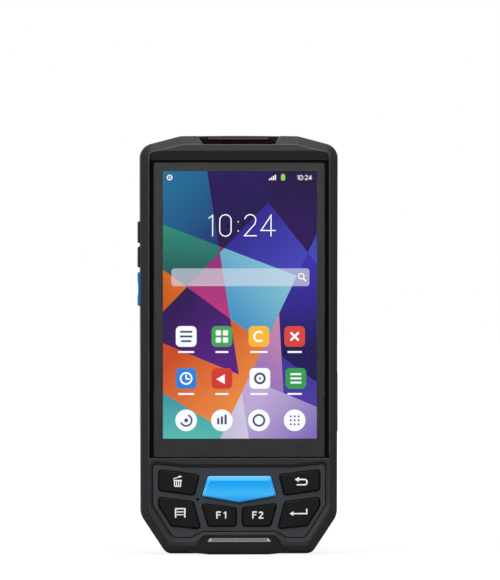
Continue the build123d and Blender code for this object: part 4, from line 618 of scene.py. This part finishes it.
# Status strip: an eye and four rising bars. Entry bar: a looking glass.
STATUS_Z = 152.9
EYE_X, BARS_X, CHARGE_X = -28.2, 12.4, 17.8
arc(bright, EYE_X, GLYPH_Y, STATUS_Z, 0.75, 1.15, 0, 360, 20)
disc(bright, EYE_X, GLYPH_Y, STATUS_Z, 0.6, 10)
for step in range(4):
    bar(bright, BARS_X + 0.75 * step, GLYPH_Y, STATUS_Z - 0.7 + 0.25 * step, 0.5, 0.7 + 0.5 * step)
arc(bright, 25.2, GLYPH_Y, ENTRY_Z + 0.4, 0.9, 1.35, 0, 360, 20)
bar(bright, 26.5, GLYPH_Y, ENTRY_Z - 1.0, 1.7, 0.5, -45)
lay("sign_strokes_white", bright, sign_white, "terminal")
charge = bmesh.new()
tile(charge, CHARGE_X, GLYPH_Y, STATUS_Z, 1.7, 2.3, 0.25)
bar(charge, CHARGE_X, GLYPH_Y, STATUS_Z + 1.3, 0.8, 0.4)
lay("sign_charge", charge, glow("sign_charge_green", srgb(110, 190, 60), srgb(140, 208, 84)),
    "terminal")


def thin_time(shape, x, z, height, stroke):
    """The time 10:24 in thin plain strokes, centred on x and z, drawn on a rise of nine units."""
    unit = height / 9.0
    half = stroke / 2
    bar(shape, x - 10.6 * unit, GLYPH_Y, z, stroke, height)
    bar(shape, x - 11.45 * unit, GLYPH_Y, z + height / 2 - 0.95 * unit, 2.1 * unit, stroke, 38)
    for step in (-1, 1):
        bar(shape, x + (-5.3 + 2.35 * step) * unit, GLYPH_Y, z, stroke, height - 4.2 * unit)
        arc(shape, x - 5.3 * unit, GLYPH_Y, z + step * 2.1 * unit, 2.35 * unit - half,
            2.35 * unit + half, 90 - 90 * step, 180, 14)
        disc(shape, x, GLYPH_Y, z + (1.9 * step - 0.4) * unit, 1.3 * stroke, 12)
    arc(shape, x + 5.0 * unit, GLYPH_Y, z + 2.2 * unit, 2.3 * unit - half, 2.3 * unit + half, 170, -205, 14)
    bar(shape, x + 4.85 * unit, GLYPH_Y, z - 1.7 * unit, 6.9 * unit, stroke, 48)
    bar(shape, x + 5.0 * unit, GLYPH_Y, z - height / 2 + half, 5.4 * unit, stroke)
    bar(shape, x + 13.6 * unit, GLYPH_Y, z, stroke, height)
    bar(shape, x + 11.6 * unit, GLYPH_Y, z + 1.1 * unit, 8.0 * unit, stroke, 57)
    bar(shape, x + 12.3 * unit, GLYPH_Y, z - 2.1 * unit, 6.4 * unit, stroke)


clock = bmesh.new()
thin_time(clock, -0.4, 133.5, 8.8, 0.42)
thin_time(clock, 26.2, STATUS_Z, 1.9, 0.26)
lay("clock_digits", clock, sign_white, "terminal")


# Keypad: seven hard keys over a silicone mat, standing through openings in a grey plate that is
# painted a little bluer than the housing. The board under it carries the domes and microphone.
# The edges of the plate and of the keys are painted black, as painted shade for the gap round each key, so
# that each key has a dark outline.
plate_grey = moulded("plate_grey", srgb(59, 61, 67), srgb(54, 57, 62), srgb(8, 8, 9), 0.5,
                     fineness=1700, depth=0.015, ease=0.3, wear_and_light=0.95, shine=0.12, painted_shade=0.95,
                     painted_shade_reach=1.5, dark_edges=True)
dress(plate_grey, "keypad_plate")
key_black = moulded("key_black", srgb(23, 23, 23), srgb(20, 20, 20), srgb(2, 2, 2), 0.4,
                    fineness=2000, depth=0.01, ease=0.3, wear_and_light=0.95, shine=0.08, painted_shade=0.7,
                    painted_shade_reach=1.2, dark_edges=True)
dress(key_black, "delete_key", "back_key", "menu_key", "enter_key", "f1_key", "f2_key")
dome_steel = moulded("dome_steel", srgb(196, 198, 202), srgb(180, 182, 188), srgb(226, 228, 230), 0.22,
                     fineness=900, depth=0.003, ease=0.1, wear_and_light=0.3, metal=1.0)
dress(dome_steel, "dome_switches", "side_switches")
mic_mesh = moulded("mic_mesh", srgb(12, 12, 13), srgb(8, 8, 9), srgb(30, 30, 32), 0.85,
                   fineness=3000, depth=0.02, ease=0.05, wear_and_light=0.0, shine=0.1)
dress(mic_mesh, "microphone")
board_green = moulded("board_green", srgb(20, 74, 48), srgb(16, 60, 40), srgb(60, 110, 80), 0.35,
                      fineness=500, depth=0.01, ease=0.1, wear_and_light=0.2, lacquer=0.4)
dress(board_green, "keypad_board", "side_key_board", "charging_board", "main_board")


# Scan key: the wide key in the middle of the keypad, moulded through in its blue, with a polished bevel
# round a face that dips to a point. Its bevel and its dished lower part catch the light, and this is painted
# into its colour as painted highlights.
key_blue = moulded("key_blue", srgb(0, 170, 255), srgb(0, 164, 252), srgb(180, 228, 255), 0.26,
                   fineness=1400, depth=0.008, ease=0.35, wear_and_light=0.5, shine=0.25, painted_shade=0.7,
                   painted_shade_reach=0.8)
# From its lower point to its top edge: a painted highlight on the dished part, deep blue, and a painted
# highlight on the bevel.
graded(key_blue, [(22.0, srgb(30, 166, 250)), (23.2, srgb(40, 174, 253)), (24.6, srgb(66, 192, 255)),
                  (29.0, srgb(0, 170, 255)), (30.1, srgb(0, 172, 255)), (30.6, srgb(82, 182, 254)),
                  (32.0, srgb(82, 182, 254))], 0.97)
dress(key_blue, "scan_key")


# Key signs: plain marks in white ink, pad-printed 0.02 mm thick on the tops of six keys. Each is
# drawn in strokes on its key, and rides on it.
key_ink = moulded("key_ink", srgb(252, 252, 253), srgb(244, 245, 246), srgb(252, 252, 252), 0.55,
                  fineness=2200, depth=0.004, ease=0.02, wear_and_light=0.0)
KEY_TOP = -10.503
INK_THICK = 0.02
FINE_STROKE = 0.42

BIN_X, BIN_LOW, BIN_HIGH, LID_TILT = -25.0, 27.8, 30.2, 16
bin_sign = bmesh.new()
for step in range(4):
    bar(bin_sign, BIN_X - 1.25 + 0.83 * step, KEY_TOP, 28.95, FINE_STROKE, 2.2, 3 - 2 * step)
bar(bin_sign, BIN_X, KEY_TOP, BIN_LOW, 2.6, FINE_STROKE)
bar(bin_sign, BIN_X, KEY_TOP, BIN_HIGH, 3.4, FINE_STROKE)
bar(bin_sign, BIN_X - 0.1, KEY_TOP, BIN_HIGH + 1.15, 3.6, 0.36, LID_TILT)
bar(bin_sign, BIN_X + 0.7, KEY_TOP, BIN_HIGH + 1.65, 1.2, 0.35, LID_TILT)
lay("delete_sign", bin_sign, key_ink, "delete_key", INK_THICK)

PAGE_X, PAGE_HALF, PAGE_HIGH = -23.95, 1.87, 18.75
page_sign = bmesh.new()
bar(page_sign, PAGE_X, KEY_TOP, PAGE_HIGH, 4.3, 0.55)
for side in (-1, 1):
    bar(page_sign, PAGE_X + PAGE_HALF * side, KEY_TOP, 16.8, 0.56, 3.4)
for z in (17.45, 16.3):
    bar(page_sign, PAGE_X, KEY_TOP, z, 2.8, FINE_STROKE)
lay("menu_sign", page_sign, key_ink, "menu_key", INK_THICK)

TURN_LOW, TURN_HIGH, TURN_STROKE = 28.4, 30.55, 0.6
turn_bend = (TURN_HIGH - TURN_LOW) / 2
turn_sign = bmesh.new()
bar(turn_sign, 25.2, KEY_TOP, TURN_HIGH, 2.6, TURN_STROKE)
bar(turn_sign, 24.9, KEY_TOP, TURN_LOW, 3.2, TURN_STROKE)
arc(turn_sign, 26.4, KEY_TOP, TURN_LOW + turn_bend, turn_bend - TURN_STROKE / 2,
    turn_bend + TURN_STROKE / 2, -90, 180, 12)
disc(turn_sign, 23.6, KEY_TOP, TURN_HIGH, 2.35, 3, 90)
lay("back_sign", turn_sign, key_ink, "back_key", INK_THICK)

ENTER_Z = 16.7
enter_sign = bmesh.new()
bar(enter_sign, 24.7, KEY_TOP, ENTER_Z, 5.8, 0.52)
bar(enter_sign, 27.35, KEY_TOP, ENTER_Z + 0.85, 0.56, 2.2)
disc(enter_sign, 21.45, KEY_TOP, ENTER_Z, 2.2, 3, 90)
lay("enter_sign", enter_sign, key_ink, "enter_key", INK_THICK)

SIGN_LOW, SIGN_RISE, STROKE = 14.68, 2.95, 0.5
SIGN_TOP = SIGN_LOW + SIGN_RISE


def upright(shape, x):
    """A full-height stroke of a letter or a digit."""
    bar(shape, x, KEY_TOP, SIGN_LOW + SIGN_RISE / 2, STROKE, SIGN_RISE)


def letter_f(shape, x):
    """A plain F with its upright at x."""
    upright(shape, x)
    bar(shape, x + 0.95, KEY_TOP, SIGN_TOP - STROKE / 2, 1.35, STROKE)
    bar(shape, x + 0.85, KEY_TOP, SIGN_LOW + 0.52 * SIGN_RISE, 1.15, STROKE - 0.06)


f1_sign = bmesh.new()
letter_f(f1_sign, -9.1)
upright(f1_sign, -5.55)
bar(f1_sign, -6.0, KEY_TOP, SIGN_TOP - 0.55, 0.95, STROKE - 0.1, 38)
lay("f1_sign", f1_sign, key_ink, "f1_key", INK_THICK)

f2_sign = bmesh.new()
letter_f(f2_sign, 5.5)
arc(f2_sign, 8.75, KEY_TOP, SIGN_TOP - 0.92, 0.38, 0.92, 165, -200, 12)
bar(f2_sign, 8.6, KEY_TOP, SIGN_LOW + 0.95, 1.85, STROKE - 0.04, 47)
bar(f2_sign, 8.8, KEY_TOP, SIGN_LOW + STROKE / 2, 1.95, STROKE)
lay("f2_sign", f2_sign, key_ink, "f2_key", INK_THICK)


# Chin: a separate smooth cover that closes the foot, with a silver grille let into it in front
# of the loudspeaker. The grille is stamped through in leaning slots.
chin_black = moulded("chin_black", srgb(24, 24, 25), srgb(21, 21, 22), srgb(84, 84, 86), 0.34,
                     fineness=2400, depth=0.006, ease=0.35, wear_and_light=0.35, shine=0.14, painted_shade=0.7,
                     painted_shade_reach=1.2)
dress(chin_black, "chin_cover")
grille_silver = moulded("grille_silver", srgb(184, 185, 188), srgb(168, 169, 173), srgb(226, 226, 228), 0.3,
                        fineness=1800, depth=0.006, ease=0.1, wear_and_light=0.4, metal=1.0, painted_shade=0.9,
                        painted_shade_reach=0.5)
dress(grille_silver, "speaker_grille")
speaker_black = moulded("speaker_black", srgb(16, 16, 17), srgb(12, 12, 13), srgb(40, 40, 42), 0.7,
                        fineness=900, depth=0.01, ease=0.1, wear_and_light=0.2, shine=0.1)
dress(speaker_black, "loudspeaker")


# Scanner: a red acrylic window in the top edge under a moulded brow, which shades it, with the
# engine and its optics behind it.
# The window's recess shade is painted shade, darkest deep under the brow.
scan_red = moulded("scan_red", srgb(44, 1, 2), srgb(34, 1, 1), srgb(80, 10, 10), 0.08,
                   fineness=300, depth=0.0005, ease=0.1, wear_and_light=0.0, shine=0.08, painted_shade=0.9,
                   painted_shade_reach=3.5)
dress(scan_red, "scan_window")
hood_black = moulded("hood_black", srgb(24, 24, 25), srgb(20, 20, 21), srgb(96, 96, 98), 0.5,
                     fineness=1500, depth=0.02, ease=0.3, wear_and_light=0.3, shine=0.1, painted_shade=0.8,
                     painted_shade_reach=1.5)
dress(hood_black, "scan_hood")
engine_black = moulded("engine_black", srgb(26, 26, 27), srgb(20, 20, 21), srgb(52, 52, 54), 0.5,
                       fineness=1200, depth=0.01, ease=0.15, wear_and_light=0.3)
dress(engine_black, "scan_engine", "camera_module")
lens_glass = moulded("lens_glass", srgb(34, 28, 54), srgb(20, 34, 48), srgb(70, 70, 90), 0.05,
                     fineness=200, depth=0.0005, ease=0.1, wear_and_light=0.1, shine=0.6, lacquer=1.0,
                     coat_roughness=0.02)
dress(lens_glass, "scan_engine_optics")


# Frame and boards: a die-cast alloy frame behind the display carries the main board, its tinned
# cans, the motor, the card holder and the battery's spring contacts.
cast_alloy = moulded("cast_alloy", srgb(150, 152, 155), srgb(134, 136, 140), srgb(196, 198, 200), 0.45,
                     fineness=900, depth=0.02, ease=0.2, wear_and_light=0.4, metal=1.0)
dress(cast_alloy, "mid_frame")
tinned_sheet = moulded("tinned_sheet", srgb(186, 188, 190), srgb(168, 170, 174), srgb(214, 216, 218), 0.3,
                       fineness=700, depth=0.008, ease=0.1, wear_and_light=0.3, metal=1.0)
dress(tinned_sheet, "shield_cans", "vibration_motor", "card_holder", "usb_socket")
contact_gold = moulded("contact_gold", srgb(214, 176, 98), srgb(198, 158, 84), srgb(240, 214, 150), 0.24,
                       fineness=1500, depth=0.004, ease=0.08, wear_and_light=0.4, metal=1.0)
dress(contact_gold, "battery_contacts", "charging_contacts")


# Battery: a flat lithium pack in a shrunk wrap, held by a foam pad on the door. The door is
# moulded in the housing's plastic with a coarser grain, and two captive screws close it.
battery_wrap = moulded("battery_wrap", srgb(46, 48, 54), srgb(40, 42, 48), srgb(86, 88, 94), 0.3,
                       fineness=240, depth=0.02, ease=0.5, wear_and_light=0.2, lacquer=0.4)
dress(battery_wrap, "battery_pack")
door_black = moulded("door_black", srgb(30, 30, 31), srgb(26, 26, 27), srgb(92, 92, 94), 0.5,
                     fineness=1100, depth=0.05, ease=0.35, wear_and_light=0.4, shine=0.18, painted_shade=0.8,
                     painted_shade_reach=1.5)
dress(door_black, "battery_door")


# Rear camera: a tinted cover over the lens and its lamp, set flush in the rear shell. A ring,
# the front lens, its iris and the lamp's lens show in it.
tinted_cover = moulded("tinted_cover", srgb(8, 8, 10), srgb(6, 6, 7), srgb(26, 26, 30), 0.06,
                       fineness=200, depth=0.0005, ease=0.12, wear_and_light=0.1, shine=0.22)
dress(tinted_cover, "camera_window")
lamp_yellow = moulded("lamp_yellow", srgb(226, 214, 150), srgb(210, 194, 116), srgb(246, 240, 210), 0.25,
                      fineness=1800, depth=0.03, ease=0.1, wear_and_light=0.2, lacquer=0.5)
dress(lamp_yellow, "flash_led")
LENS_X, LENS_Z, FLASH_X = 14.0, 143.8, 24.0
COVER_Y = 10.352
LENS_THICK = 0.04
lens_ring = bmesh.new()
arc(lens_ring, LENS_X, COVER_Y, LENS_Z, 2.9, 3.5, 0, 360, 48)
lay("camera_ring", lens_ring, tinned_sheet, "terminal", 0.09, way=1)
lens_front = bmesh.new()
disc(lens_front, LENS_X, COVER_Y, LENS_Z, 5.8, 40)
lay("camera_lens", lens_front, lens_glass, "terminal", LENS_THICK, way=1)
lens_iris = bmesh.new()
arc(lens_iris, LENS_X, COVER_Y + LENS_THICK + 0.002, LENS_Z, 0.9, 1.9, 0, 360, 36)
lay("camera_iris", lens_iris, channel_black, "terminal", 0.01, way=1)
flash_front = bmesh.new()
disc(flash_front, FLASH_X, COVER_Y, LENS_Z, 3.4, 32)
lay("flash_lens", flash_front, lamp_yellow, "terminal", LENS_THICK, way=1)


# Side keys: two dark keys in the housing's plastic and a second scan key stand through the left wall, over
# switches on a board of their own. The second scan key's blue is painted darker than the front one as
# painted shade, since it faces the side.
dress(housing_black, "side_key_upper", "side_key_lower")
shaded_side_blue = moulded("shaded_side_blue", srgb(14, 104, 200), srgb(10, 98, 192), srgb(110, 176, 240), 0.3,
                    fineness=1400, depth=0.008, ease=0.35, wear_and_light=0.4, shine=0.2, painted_shade=0.7,
                    painted_shade_reach=0.8)
dress(shaded_side_blue, "side_scan_key")


# Port: a charging socket in the right wall behind a flap. The flap is moulded in a soft black
# rubber and turns on a steel pin.
flap_soft = moulded("flap_soft", srgb(36, 36, 37), srgb(31, 31, 32), srgb(74, 74, 76), 0.68,
                    fineness=1300, depth=0.015, ease=0.3, wear_and_light=0.25, shine=0.14, painted_shade=0.8,
                    painted_shade_reach=1.2)
dress(flap_soft, "port_flap")
